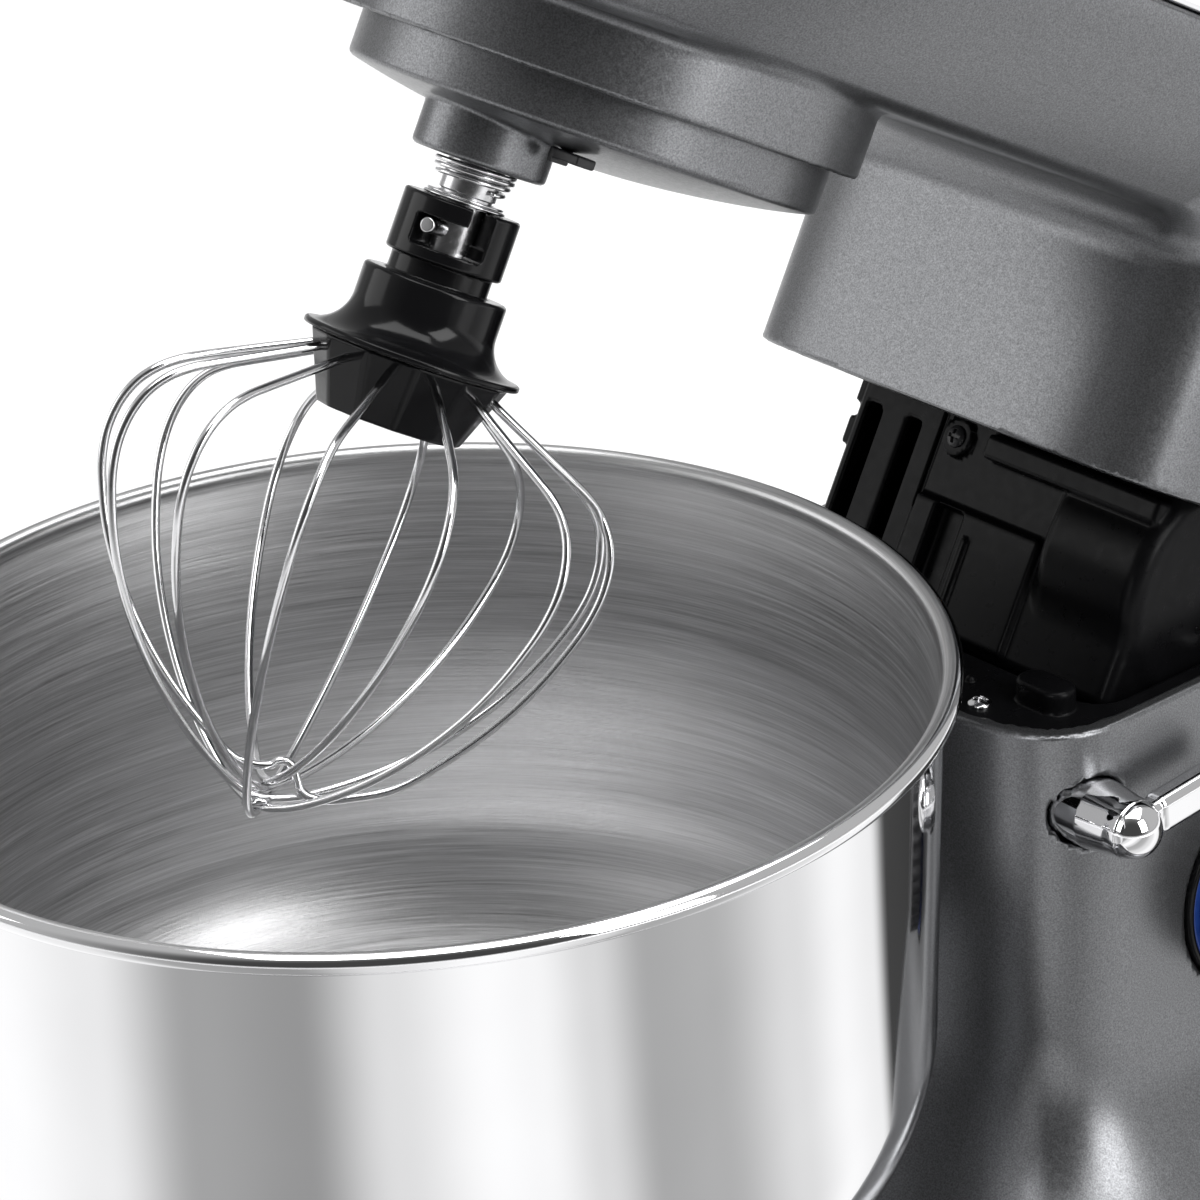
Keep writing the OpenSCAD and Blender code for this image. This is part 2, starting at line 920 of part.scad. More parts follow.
module centre_shaft() color(steel) on_head() {
    difference() {
        union() {
            disc(centre_shaft_r - 1, turret_z - 8, train_z + train_h + 2);
            disc(centre_shaft_r, turret_z + 3, train_z - 1);
        }
        translate([0, 0, train_z + train_h - 4])
            cylinder(r = 2, h = 10, $fn = 32);
    }
}

clip_azimuth = -44;

module disc_clip() color(dark_steel) on_head() {
    rotate([0, 0, clip_azimuth])
        translate([31, -3, disc_z - 6.6])
            cube([7, 6, 3]);
}

collar_top = turret_z - 30.3;
collar_low = turret_z - 43.1;
pin_r = 1.65;
pin_z = turret_z - 36.2;
pin_azimuth = -70.6;

module beater_shaft() color(steel) on_planet() {
    difference() {
        union() {
            disc(shaft_r, turret_z - 52, gear_z - 0.6);
            disc(5, gear_z - 0.7, gear_z + gear_h - 0.6);
        }
        translate([0, 0, pin_z])
            rotate([0, 90, pin_azimuth])
                cylinder(r = pin_r, h = 40, center = true, $fn = 32);
    }
}

module cross_pin() color(steel) on_planet() {
    translate([0, 0, pin_z])
        rotate([0, 90, pin_azimuth])
            cylinder(r = pin_r, h = 24, center = true, $fn = 32);
}

module shaft_spring() color(steel) on_planet() {
    translate([0, 0, turret_z - 28.3])
        coil(7.2, 8.1, 0.5, 5.8, 3);
}

module shaft_washers() color(steel) on_planet() {
    tube(8.6, shaft_r + 0.05, collar_top + 0.1, collar_top + 0.8);
    tube(8.1, shaft_r + 0.05, collar_top + 0.9, collar_top + 1.4);
}

// --- whisk -----------------------------------------------------------------

collar_r = 12.2;
hub_top = turret_z - 47;
rim_z = turret_z - 62.6;
retainer_low = turret_z - 77;
slot_reach = 52;
slot_half = 2.1;

// Keyway for the cross pin: along the collar, then down from its top edge.
module bayonet_slot() {
    pin_span = asin((pin_r + 0.15) / (shaft_r - 0.2));
    rotate([0, 0, pin_azimuth - pin_span])
        translate([0, 0, pin_z - slot_half])
            rotate_extrude(angle = slot_reach + 2 * pin_span, $fn = 96)
                translate([shaft_r - 0.5, 0])
                    square([10, 2 * slot_half]);
    rotate([0, 0, pin_azimuth + slot_reach])
        translate([4, -slot_half, pin_z])
            cube([12, 2 * slot_half, 20]);
}

function bell_profile() = concat(
    [[shaft_r + 0.05, collar_top], [collar_r, collar_top], [collar_r, collar_low], [10.6, collar_low],
     [10.6, hub_top], [15, hub_top], [15.4, hub_top - 6]],
    [for (a = [10:16:90]) [15.4 + 8.4 * (1 - cos(a)), hub_top - 6 - 8.4 * sin(a)]],
    [[23, rim_z + 0.4], [22.2, rim_z - 1], [0, rim_z - 1], [0, turret_z - 53],
     [shaft_r + 0.05, turret_z - 53]]);

module whisk_hub() color(plastic) on_planet() {
    difference() {
        rotate_extrude($fn = 96)
            polygon(bell_profile());
        for (side = [0, 180])
            rotate([0, 0, side])
                bayonet_slot();
    }
}

module wire_retainer() color(plastic) on_planet() {
    translate([0, 0, retainer_low])
        rotate([0, 0, strand_phase])
            cylinder(r1 = 15.2, r2 = 20.6, h = rim_z - 1 - retainer_low, $fn = 12);
}

loops = 6;
strand_phase = -7;
wire_r = wire_d / 2;
wire_gap = wire_d + 0.15;

// Half of a loop as [distance from the axis, drop below the turret], from the hub to the tip.
strand_profile = [
    [16, 64.7], [21, 67.1], [32, 72.4], [43.4, 78], [47.6, 81], [50.6, 85], [52.4, 90], [52.8, 96],
    [51.9, 103], [49.8, 110], [46.6, 118], [41.8, 127], [38.4, 132], [34.8, 137], [30.6, 142],
    [25.8, 147], [20.8, 151.6], [15, 156], [8.4, 160.2], [3.5, 162.6], [0, 163.2]
];
bend_drop = 96;
profile_w = 52.8;
profile_tip = 163.2;

// The profile's widest radius is scaled to the whisk's size, and its lower part to the loop's own tip.
function strand(tip) = let (
        wide = (whisk_d / 2 - wire_r) / profile_w,
        deep = (tip - bend_drop) / (profile_tip - bend_drop))
    [for (p = strand_profile)
        [p[0] * wide, p[1] < bend_drop ? p[1] : bend_drop + (p[1] - bend_drop) * deep]];

function loop_path(tip) = let (half = strand(tip), n = len(half)) concat(
    [for (p = half) [p[0], 0, turret_z - p[1]]],
    [for (i = [n - 2:-1:0]) [-half[i][0], 0, turret_z - half[i][1]]]);

// Wire along a path that lies in the X-Z plane.
module wire_along(path, r) {
    sides = 8;
    n = len(path);
    loft([for (i = [0:n - 1])
        let (d = path[min(i + 1, n - 1)] - path[max(i - 1, 0)],
             t = d / norm(d),
             out = [t[2], 0, -t[0]])
        [for (j = [0:sides - 1])
            let (b = 360 * j / sides)
            path[i] + r * cos(b) * out + r * sin(b) * [0, 1, 0]]]);
}

module whisk_wires() color(steel) on_planet() {
    for (i = [0:loops - 1])
        rotate([0, 0, strand_phase + 15 + i * 180 / loops])
            wire_along(loop_path(whisk_reach - i * wire_gap), wire_r);
}

// --- bowl ------------------------------------------------------------------

bead_r = 2.3;
wall_top_r = bowl_d / 2 - 4.2;
wall_low_r = wall_top_r - 3.6;
bend_r = 50;
bend_z = rim_h - 79;
floor_r = 30;
bowl_floor = base_h + 3.7;

// Outer line of the bowl's wall from the rim to its flat floor, pushed inwards by t.
function bowl_line(t) =
    let (cx = wall_low_r - bend_r, drop = floor_r * (1 - cos(45)),
         knee = [cx + bend_r * cos(45), bend_z - bend_r * sin(45)],
         low = [knee[0] - (knee[1] - bowl_floor - drop), bowl_floor + drop])
    concat(
        [[wall_top_r - t, rim_h], [wall_low_r - t, bend_z]],
        [for (a = [5:5:45]) [cx + (bend_r - t) * cos(a), bend_z - (bend_r - t) * sin(a)]],
        [for (a = [45:9:90])
            [low[0] - floor_r * sin(45) + (floor_r - t) * cos(a),
             low[1] + floor_r * cos(45) - (floor_r - t) * sin(a)]],
        [[0, bowl_floor + t]]);

module bowl() color(steel) on_stand() {
    outer = bowl_line(0);
    inner = bowl_line(bowl_wall);
    rotate_extrude($fn = 128)
        polygon(concat(outer, [for (i = [len(inner) - 1:-1:0]) inner[i]]));
    translate([0, 0, rim_h])
        rotate_extrude($fn = 128)
            translate([bowl_d / 2 - bead_r, 0])
                circle(r = bead_r, $fn = 32);
}

foot_ring_r = 52;

module bowl_foot() color(dark_steel) on_stand() {
    rotate_extrude($fn = 128)
        polygon([[foot_ring_r - 2, lug_z], [foot_ring_r + 6, lug_z], [foot_ring_r + 6, lug_z + lug_t],
                 [foot_ring_r, lug_z + lug_t], [foot_ring_r, bowl_floor + 8.3],
                 [foot_ring_r - 2, bowl_floor + 6.5]]);
    bayonet_arms(foot_ring_r + 5, lug_r, lug_z, lug_z + lug_t, lip_angle - 4, 2);
}

stand_housing();
base_cover();
base_screws();
suction_feet();
bowl_seat();
column_tray();
tray_screws();
hinge_bracket();
hinge_pin();
latch_bracket();
lever_bushing();
knob_bezel();
knob_light_ring();
speed_switch();
control_board();
cord_gland();
lever_arm();
lever_shaft();
latch_bolt();
latch_spring();
speed_knob();
knob_shaft();
head_lower_shell();
head_upper_shell();
trim_band();
neck_cover();
neck_cover_screw();
hinge_arms();
chassis_plate();
gearbox_case();
ring_gear();
lower_bearing();
upper_bearing();
motor_stator();
motor_top_bracket();
motor_bottom_bracket();
brush_holders();
drive_belt();
chassis_screws();
motor_rotor();
motor_fan();
motor_pulley();
belt_pulley();
counter_pinion();
planetary_disc();
centre_shaft();
main_gear();
disc_clip();
beater_shaft();
cross_pin();
planet_gear();
shaft_spring();
shaft_washers();
whisk_hub();
wire_retainer();
whisk_wires();
bowl();
bowl_foot();
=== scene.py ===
import json
from math import atan2, cos, hypot, pi, radians, sin, tan

import bmesh
import bpy
import numpy as np
from mathutils import Matrix, Vector


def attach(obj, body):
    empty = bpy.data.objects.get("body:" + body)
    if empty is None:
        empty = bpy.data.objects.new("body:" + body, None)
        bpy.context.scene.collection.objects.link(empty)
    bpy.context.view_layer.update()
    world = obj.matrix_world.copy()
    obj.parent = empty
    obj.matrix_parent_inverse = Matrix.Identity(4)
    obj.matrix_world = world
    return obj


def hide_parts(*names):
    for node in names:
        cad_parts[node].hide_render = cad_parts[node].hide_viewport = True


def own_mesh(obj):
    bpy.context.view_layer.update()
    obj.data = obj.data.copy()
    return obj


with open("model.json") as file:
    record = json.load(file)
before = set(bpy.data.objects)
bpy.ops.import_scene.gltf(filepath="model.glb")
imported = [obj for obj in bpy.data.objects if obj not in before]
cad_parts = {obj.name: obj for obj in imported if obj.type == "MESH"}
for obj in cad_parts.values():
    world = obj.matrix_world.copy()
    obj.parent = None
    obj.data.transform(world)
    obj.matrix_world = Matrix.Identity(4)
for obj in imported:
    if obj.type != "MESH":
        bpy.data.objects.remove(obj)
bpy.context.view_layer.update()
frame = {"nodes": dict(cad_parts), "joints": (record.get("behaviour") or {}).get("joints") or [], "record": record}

# Sizes are in millimetres in three design spaces: STAND has the bowl's axis as its Z axis and the
# table at z = 0, HEAD is the same space swung up with the head, and PLANET is HEAD moved to the
# beater shaft. A space is a rigid matrix in metres, and every builder scales its mesh by MM.
MM = 0.001


# --- places taken from the frame ---------------------------------------------

joint = {j["name"]: j for j in frame["joints"]}
bowl_axis = Vector(joint["bowl_twist"]["pos_m"])
STAND = Matrix.Translation((bowl_axis.x, bowl_axis.y, 0))
hinge = STAND.inverted() @ Vector(joint["head_tilt"]["pos_m"])
spin_axis = Vector(joint["carrier_spin"]["axis"])
tilt = atan2(spin_axis.y, spin_axis.z)
HEAD = (STAND @ Matrix.Translation(hinge) @ Matrix.Rotation(-tilt, 4, "X")
        @ Matrix.Translation(-hinge))
orbit = HEAD.inverted() @ Vector(joint["beater_spin"]["pos_m"])
PLANET = HEAD @ Matrix.Translation((orbit.x, orbit.y, 0))


def place(name, space):
    """A joint's position in a design space, in millimetres."""
    return (space.inverted() @ Vector(joint[name]["pos_m"])) / MM


def span(node, space, z_low=-1e9, z_high=1e9):
    """Lowest and highest corner, in a design space, of a CAD node's points between two heights."""
    inverse = space.inverted()
    points = np.array([inverse @ v.co for v in frame["nodes"][node].data.vertices]) / MM
    points = points[(points[:, 2] >= z_low) & (points[:, 2] <= z_high)]
    return points.min(0), points.max(0)


# --- distance fields ---------------------------------------------------------
# A field gives about the distance outside a solid, negative inside it, for arrays of x, y and z.

def superellipse(x, y, half_w, y_mid, front, back, n_front, n_back):
    """Distance from an upright prism, widest at y_mid, whose front and back bulge differently."""
    ahead = y < y_mid
    reach = np.where(ahead, y_mid - front, back - y_mid)
    n = np.where(ahead, n_front, n_back)
    u = np.abs(x) / half_w + 1e-6
    v = np.abs(y - y_mid) / reach + 1e-6
    g = (u ** n + v ** n) ** (1 / n)
    slope = np.hypot(u ** (n - 1) / half_w, v ** (n - 1) / reach) * g ** (1 - n)
    return (g - 1) / slope


def cylinder(x, y, radius):
    return np.hypot(x, y) - radius


def slab(v, low, high):
    return np.maximum(low - v, v - high)


def box(x, y, z, low, high, r=0.0):
    """Box with edges rounded to r."""
    q = [np.maximum(l - v, v - h) + r for v, l, h in zip((x, y, z), low, high)]
    outside = np.sqrt(sum(np.maximum(v, 0) ** 2 for v in q))
    return outside + np.minimum(np.maximum(np.maximum(q[0], q[1]), q[2]), 0) - r


def union(a, b, r=0.0):
    """Both solids, with a round fillet of radius r between them."""
    if r == 0:
        return np.minimum(a, b)
    u, v = np.maximum(r - a, 0), np.maximum(r - b, 0)
    return np.maximum(r, np.minimum(a, b)) - np.sqrt(u * u + v * v)


def common(a, b, r=0.0):
    """What both solids share, with the edge between them rounded to r."""
    return -union(-a, -b, r)


def cut(a, b, r=0.0):
    """Solid a without solid b, with the edge rounded to r."""
    return common(a, -b, r)


# --- mesh builders -----------------------------------------------------------

def added(name, data):
    obj = bpy.data.objects.new(name, data)
    bpy.context.scene.collection.objects.link(obj)
    return obj


def shifted(space, x, y, z):
    """A design space with its origin moved, in millimetres."""
    return space @ Matrix.Translation((x * MM, y * MM, z * MM))


def make_object(name, points, faces, space, normals=None):
    """Mesh object from points in millimetres in a design space; faces are an array or a list."""
    mesh = bpy.data.meshes.new(name)
    points = np.asarray(points, float) * MM
    if space in (HEAD, PLANET):
        # Meshes of the tilted spaces are turned here, so that their boxes stay as small as they are.
        turn = np.array(space.to_3x3())
        points = points @ turn.T + np.array(space.translation)
        normals = normals if normals is None else normals @ turn.T
        space = Matrix.Identity(4)
    if isinstance(faces, np.ndarray):
        mesh.vertices.add(len(points))
        mesh.vertices.foreach_set("co", points.ravel())
        mesh.loops.add(faces.size)
        mesh.loops.foreach_set("vertex_index", faces.ravel())
        mesh.polygons.add(len(faces))
        mesh.polygons.foreach_set("loop_start", np.arange(0, faces.size, faces.shape[1]))
    else:
        mesh.from_pydata(points.tolist(), [], faces)
    mesh.update(calc_edges=True)
    mesh.validate()
    mesh.polygons.foreach_set("use_smooth", np.ones(len(mesh.polygons), bool))
    if normals is not None:
        mesh.normals_split_custom_set_from_vertices(normals.tolist())
    obj = added(name, mesh)
    obj.matrix_world = space
    return obj


BLOCK = 4


def carve(name, field, low, high, cell, space, relax=3):
    """Mesh of the surface where field is zero, on a grid of that cell, laid exactly on the field."""
    low = np.array(low, float) - BLOCK * cell
    count = np.ceil((np.array(high, float) + 2 * cell - low) / cell / BLOCK).astype(int) * BLOCK + 1
    grid = [low[a] + cell * np.arange(count[a]) for a in range(3)]
    coarse = field(*np.meshgrid(*[g[::BLOCK] for g in grid], indexing="ij"))
    nearest = [np.rint(np.arange(n) / BLOCK).astype(int) for n in count]
    value = coarse[np.ix_(*nearest)]
    i, j, k = np.nonzero(np.abs(value) < 2 * BLOCK * cell)
    value[i, j, k] = field(grid[0][i], grid[1][j], grid[2][k])
    inside = value < 0
    corners = sum(inside[a:a + n[0], b:b + n[1], c:c + n[2]].astype(np.int8)
                  for n in [count - 1] for a in (0, 1) for b in (0, 1) for c in (0, 1))
    mixed = (corners > 0) & (corners < 8)
    ids = np.full(mixed.shape, -1)
    ids[mixed] = np.arange(mixed.sum())
    points = low + cell * (np.argwhere(mixed) + 0.5)
    faces = []
    for a in range(3):
        b, c = (a + 1) % 3, (a + 2) % 3
        one, two = np.moveaxis(inside, a, 0)[:-1], np.moveaxis(inside, a, 0)[1:]
        where = np.argwhere(np.moveaxis(one != two, 0, a))
        outward = np.moveaxis(one, 0, a)[tuple(where.T)]
        ring = []
        for db, dc in ((1, 1), (0, 1), (0, 0), (1, 0)):
            cellward = where.copy()
            cellward[:, b] -= db
            cellward[:, c] -= dc
            ring.append(ids[tuple(cellward.T)])
        quads = np.stack(ring, 1)
        quads[~outward] = quads[~outward][:, ::-1]
        faces.append(quads)
    faces = np.concatenate(faces)

    def gradient(p):
        h = 0.2 * cell
        return np.stack([field(*(p + e).T) - field(*(p - e).T) for e in h * np.eye(3)], 1) / (2 * h)

    def settle(p, times):
        for _ in range(times):
            g = gradient(p)
            step = (field(*p.T) / np.maximum((g * g).sum(1), 0.05))[:, None] * g
            length = np.linalg.norm(step, axis=1, keepdims=True)
            p = p - step * np.minimum(1, cell / np.maximum(length, 1e-9))
        return p

    points = settle(points, 4)
    for _ in range(relax):
        middle = points[faces].mean(1)
        total = np.zeros_like(points)
        for column in faces.T:
            for a in range(3):
                total[:, a] += np.bincount(column, middle[:, a], len(points))
        share = np.bincount(faces.ravel(), minlength=len(points))[:, None]
        points = settle(0.4 * points + 0.6 * total / share, 2)
    g = gradient(points)
    return make_object(name, points, faces, space, g / np.linalg.norm(g, axis=1, keepdims=True))


def rounded(corners, radius, steps=6):
    """Open outline with its inner corners rounded; radius is one number or one for each corner."""
    corners = [Vector(c) for c in corners]
    radii = radius if isinstance(radius, (list, tuple)) else [radius] * len(corners)
    line = [corners[0]]
    for before, here, after, r in zip(corners, corners[1:], corners[2:], radii[1:]):
        a, b = (before - here), (after - here)
        turn = a.angle(b)
        reach = min(r / tan(turn / 2), 0.49 * a.length, 0.49 * b.length)
        if reach < 1e-4 or turn > radians(179):
            line.append(here)
            continue
        r = reach * tan(turn / 2)
        p, q = here + a.normalized() * reach, here + b.normalized() * reach
        centre = here + (a.normalized() + b.normalized()).normalized() * (r / sin(turn / 2))
        for s in range(steps + 1):
            mix = (p - centre).lerp(q - centre, s / steps)
            line.append(centre + mix.normalized() * r)
    line.append(corners[-1])
    return line


def lathe(name, outline, space, segments=192, sharp=30):
    """Solid of revolution from an outline of (radius, height) points, closed where it meets itself."""
    ring = [Vector(p) for p in outline]
    closed = (ring[0] - ring[-1]).length < 1e-6
    if closed:
        ring.pop()
    turns = np.arange(segments) * 2 * pi / segments
    points = [(p.x * cos(a), p.x * sin(a), p.y) for p in ring for a in turns]
    faces = []
    for i in range(len(ring) if closed else len(ring) - 1):
        lower, upper = i * segments, (i + 1) % len(ring) * segments
        for s in range(segments):
            t = (s + 1) % segments
            faces.append((lower + s, upper + s, upper + t, lower + t))
    obj = make_object(name, points, faces, space)
    merge(obj)
    obj.data.set_sharp_from_angle(angle=radians(sharp))
    return obj


def merge(obj):
    """Joins points that coincide, and drops the faces that shrink to nothing there."""
    work = bmesh.new()
    work.from_mesh(obj.data)
    bmesh.ops.remove_doubles(work, verts=work.verts, dist=1e-7)
    bmesh.ops.dissolve_degenerate(work, edges=work.edges, dist=1e-8)
    bmesh.ops.recalc_face_normals(work, faces=work.faces)
    work.to_mesh(obj.data)
    work.free()
    obj.data.polygons.foreach_set("use_smooth", np.ones(len(obj.data.polygons), bool))


def wire(name, path, radius, space, sides=14, closed=False):
    """Round wire along a path, with flat ends unless it closes on itself."""
    path = np.asarray(path, float)
    after, before = np.roll(path, -1, 0), np.roll(path, 1, 0)
    if not closed:
        after[-1], before[0] = path[-1], path[0]
    along = after - before
    along /= np.linalg.norm(along, axis=1, keepdims=True)
    across = np.cross(along[0], (0.3, 0.5, 0.8))
    rings = []
    for here, t in zip(path, along):
        across = across - t * np.dot(across, t)
        across /= np.linalg.norm(across)
        rings.append((here, across.copy(), np.cross(t, across)))
    turns = np.arange(sides) * 2 * pi / sides
    points = [c + radius * (cos(a) * u + sin(a) * v) for c, u, v in rings for a in turns]
    n = len(path)
    faces = [(i * sides + s, i * sides + (s + 1) % sides,
              (i + 1) % n * sides + (s + 1) % sides, (i + 1) % n * sides + s)
             for i in range(n if closed else n - 1) for s in range(sides)]
    if not closed:
        faces.append(tuple(range(sides))[::-1])
        faces.append(tuple(range((n - 1) * sides, n * sides)))
    return make_object(name, points, faces, space)


def smooth_path(points, steps):
    """Centripetal curve through the points, with that many steps between two of them."""
    points = [np.array(p, float) for p in points]
    points = [2 * points[0] - points[1]] + points + [2 * points[-1] - points[-2]]
    line = []
    for p0, p1, p2, p3 in zip(points, points[1:], points[2:], points[3:]):
        t = np.cumsum([0] + [max(np.linalg.norm(b - a), 1e-6) ** 0.5
                             for a, b in ((p0, p1), (p1, p2), (p2, p3))])
        for s in np.linspace(t[1], t[2], steps, endpoint=False):
            def mix(a, b, i, j):
                return a + (b - a) * (s - t[i]) / (t[j] - t[i])
            a1, a2, a3 = mix(p0, p1, 0, 1), mix(p1, p2, 1, 2), mix(p2, p3, 2, 3)
            line.append(mix(mix(a1, a2, 0, 2), mix(a2, a3, 1, 3), 1, 2))
    line.append(points[-2])
    return np.array(line)


def joined(name, pieces):
    """One object made of several in the same space."""
    for p in bpy.context.selected_objects:
        p.select_set(False)
    for p in pieces:
        p.select_set(True)
    bpy.context.view_layer.objects.active = pieces[0]
    bpy.ops.object.join()
    pieces[0].name = name
    return pieces[0]


# --- materials ---------------------------------------------------------------

def feed(tree, socket, value):
    """Gives a shader input a number, or the socket that feeds it."""
    if hasattr(value, "is_linked"):
        tree.links.new(value, socket)
    else:
        socket.default_value = value


def add_node(tree, kind, inputs=(), **settings):
    """New shader node of a kind such as TexNoise, with its inputs by name or number."""
    made = tree.nodes.new("ShaderNode" + kind)
    for key, value in settings.items():
        setattr(made, key, value)
    for key, value in dict(inputs).items():
        feed(tree, made.inputs[key], value)
    return made


class Finish:
    """A Principled material under construction, with helpers for its procedural detail."""

    def __init__(self, name, color, metallic, roughness):
        self.material = bpy.data.materials.new(name)
        self.material.use_nodes = True
        self.tree = self.material.node_tree
        self.shader = self.tree.nodes["Principled BSDF"]
        self.place = self.node("TexCoord").outputs["Object"]
        self.set("Base Color", (*color, 1))
        self.set("Metallic", metallic)
        self.set("Roughness", roughness)
        self.color = color

    def set(self, socket, value):
        feed(self.tree, self.shader.inputs[socket], value)

    def node(self, kind, inputs=(), **settings):
        return add_node(self.tree, kind, inputs, **settings)

    def math(self, operation, *values):
        return self.node("Math", dict(enumerate(values)), operation=operation).outputs[0]

    def noise(self, scale, detail, place=None, rough=0.5):
        inputs = {"Vector": place or self.place, "Scale": scale, "Detail": detail, "Roughness": rough}
        return self.node("TexNoise", inputs).outputs["Fac"]

    def spread(self, factor, low, high, start=0.3, end=0.7):
        """Maps a noise to numbers from low to high."""
        inputs = {"Value": factor, "From Min": start, "From Max": end, "To Min": low, "To Max": high}
        return self.node("MapRange", inputs).outputs["Result"]

    def tint(self, factor, low, high, *ends):
        """Base colour between two tones of itself, following a noise."""
        inputs = {0: self.spread(factor, 0, 1, *ends), 6: (*[c * low for c in self.color], 1),
                  7: (*[c * high for c in self.color], 1)}
        self.set("Base Color", self.node("Mix", inputs, data_type="RGBA").outputs[2])

    def rough(self, factor, low, high):
        self.set("Roughness", self.spread(factor, low, high))

    def bump(self, height, distance, strength):
        inputs = {"Height": height, "Distance": distance, "Strength": strength}
        self.set("Normal", self.node("Bump", inputs).outputs[0])

    def stretched(self, x, y, z):
        """The object's coordinates scaled unevenly, for brushing and grain."""
        inputs = {"Vector": self.place, "Scale": (x, y, z)}
        return self.node("Mapping", inputs).outputs[0]

    def turned(self, along, across):
        """Coordinates that run round the object's Z axis, for a surface spun against an abrasive."""
        x, y, z = self.node("SeparateXYZ", {0: self.place}).outputs
        op = self.math
        radius = op("SQRT", op("ADD", op("MULTIPLY", x, x), op("MULTIPLY", y, y)))
        safe = op("MAXIMUM", radius, 1e-5)
        parts = {0: op("MULTIPLY", op("DIVIDE", x, safe), along),
                 1: op("MULTIPLY", op("DIVIDE", y, safe), along),
                 2: op("MULTIPLY", op("ADD", z, radius), across)}
        return self.node("CombineXYZ", parts).outputs[0]


# Even finishes: colour, metallic, roughness, then a noise for the roughness, one for the tint and one
# for the bump. A noise is its scale and detail, then the range that it gives and where that starts and
# ends, or the bump's distance and strength. Sockets that differ from Blender's own come last.
EVEN_FINISHES = {
    "gunmetal_paint": ((0.185, 0.188, 0.195), 0.88, 0.34, (900, 2, 0.28, 0.36), (2600, 2, 0.72, 1.35),
                       (1500, 3, 0.00003, 0.5), {"Coat Weight": 0.1, "Coat Roughness": 0.3}),
    "mirror_steel": ((0.86, 0.86, 0.87), 1, 0.05, (60, 3, 0.035, 0.07), (25, 2, 0.97, 1.02),
                     (35, 1, 0.00004, 0.3)),
    "satin_steel": ((0.60, 0.60, 0.61), 1, 0.22, (800, 3, 0.16, 0.28), (300, 2, 0.93, 1.05)),
    "bright_wire": ((0.80, 0.80, 0.81), 1, 0.12, (700, 2, 0.09, 0.17), (260, 2, 0.94, 1.03)),
    "chrome": ((0.88, 0.88, 0.89), 1, 0.03, (150, 2, 0.02, 0.045), (60, 2, 0.98, 1.01)),
    "zinc_plate": ((0.42, 0.43, 0.45), 1, 0.38, (500, 4, 0.3, 0.46), (120, 4, 0.85, 1.12)),
    "cast_alloy": ((0.52, 0.53, 0.54), 1, 0.5, None, (1200, 4, 0.88, 1.08), (1200, 4, 0.0001, 0.5)),
    "yellow_brass": ((0.72, 0.52, 0.22), 1, 0.3, (500, 3, 0.22, 0.4), (150, 3, 0.85, 1.08)),
    "gloss_black": ((0.005, 0.005, 0.0055), 0, 0.16, (220, 3, 0.11, 0.19), (90, 3, 0.85, 1.2),
                    (120, 2, 0.00002, 0.25), {"Specular IOR Level": 0.22}),
    "moulded_black": ((0.004, 0.004, 0.0045), 0, 0.3, (400, 3, 0.26, 0.36), (90, 3, 0.85, 1.2),
                      (900, 3, 0.00002, 0.3), {"Specular IOR Level": 0.1}),
    "satin_black": ((0.022, 0.022, 0.024), 0, 0.42, (2200, 3, 0.36, 0.5), (200, 3, 0.85, 1.2),
                    (2200, 3, 0.00003, 0.4)),
    "soft_rubber": ((0.02, 0.02, 0.021), 0, 0.75, None, (1600, 4, 0.8, 1.25), (1600, 4, 0.00008, 0.6)),
    "gear_nylon": ((0.72, 0.68, 0.56), 0, 0.45, (700, 3, 0.38, 0.52), (90, 3, 0.92, 1.05), None,
                   {"Subsurface Weight": 0.1, "Subsurface Radius": (0.002, 0.0018, 0.0012)}),
    "board_green": ((0.02, 0.14, 0.06), 0, 0.35, None, (420, 0, 0.7, 1.5, 0.48, 0.52),
                    (420, 0, 0.00004, 0.5)),
    "blue_lens": ((0.012, 0.035, 0.15), 0, 0.2, None, (400, 2, 0.85, 1.15), None,
                  {"Emission Strength": 0.06, "Emission Color": (0.03, 0.12, 0.8, 1)}),
    "pale_floor": ((0.86, 0.86, 0.865), 0, 0.6, None, (3, 2, 0.99, 1.01)),
}


def even_finish(name, color, metallic, roughness, worn, toned, dented=None, sockets=()):
    f = Finish(name, color, metallic, roughness)
    for socket, value in dict(sockets).items():
        f.set(socket, value)
    for apply, noise in ((f.rough, worn), (f.tint, toned), (f.bump, dented)):
        if noise:
            apply(f.noise(*noise[:2]), *noise[2:])
    return f.material


def spun_steel():
    """Inside of the bowl: fine rings left by a polishing belt."""
    f = Finish("spun_steel", (0.56, 0.56, 0.565), 1.0, 0.34)
    f.set("Anisotropic", 0.5)
    rings = f.noise(1.0, 5.0, f.turned(2.6, 1500), 0.75)
    broad = f.noise(1.0, 3.0, f.turned(1.2, 160), 0.6)
    f.set("Tangent", f.node("Tangent", direction_type="RADIAL", axis="Z").outputs[0])
    f.tint(f.math("ADD", f.math("MULTIPLY", rings, 0.75), f.math("MULTIPLY", broad, 0.25)), 0.62, 1.38)
    f.rough(rings, 0.28, 0.44)
    f.bump(rings, 0.00006, 0.5)
    return f.material


def wound_copper():
    """Varnished windings: fine parallel strands."""
    f = Finish("wound_copper", (0.50, 0.20, 0.07), 0.8, 0.35)
    strands = f.noise(1.0, 2.0, f.stretched(200, 200, 3000))
    f.tint(strands, 0.6, 1.25)
    f.bump(strands, 0.0002, 0.7)
    return f.material


finish = {name: even_finish(name, *row) for name, row in EVEN_FINISHES.items()}
finish.update({make.__name__: make() for make in (spun_steel, wound_copper)})

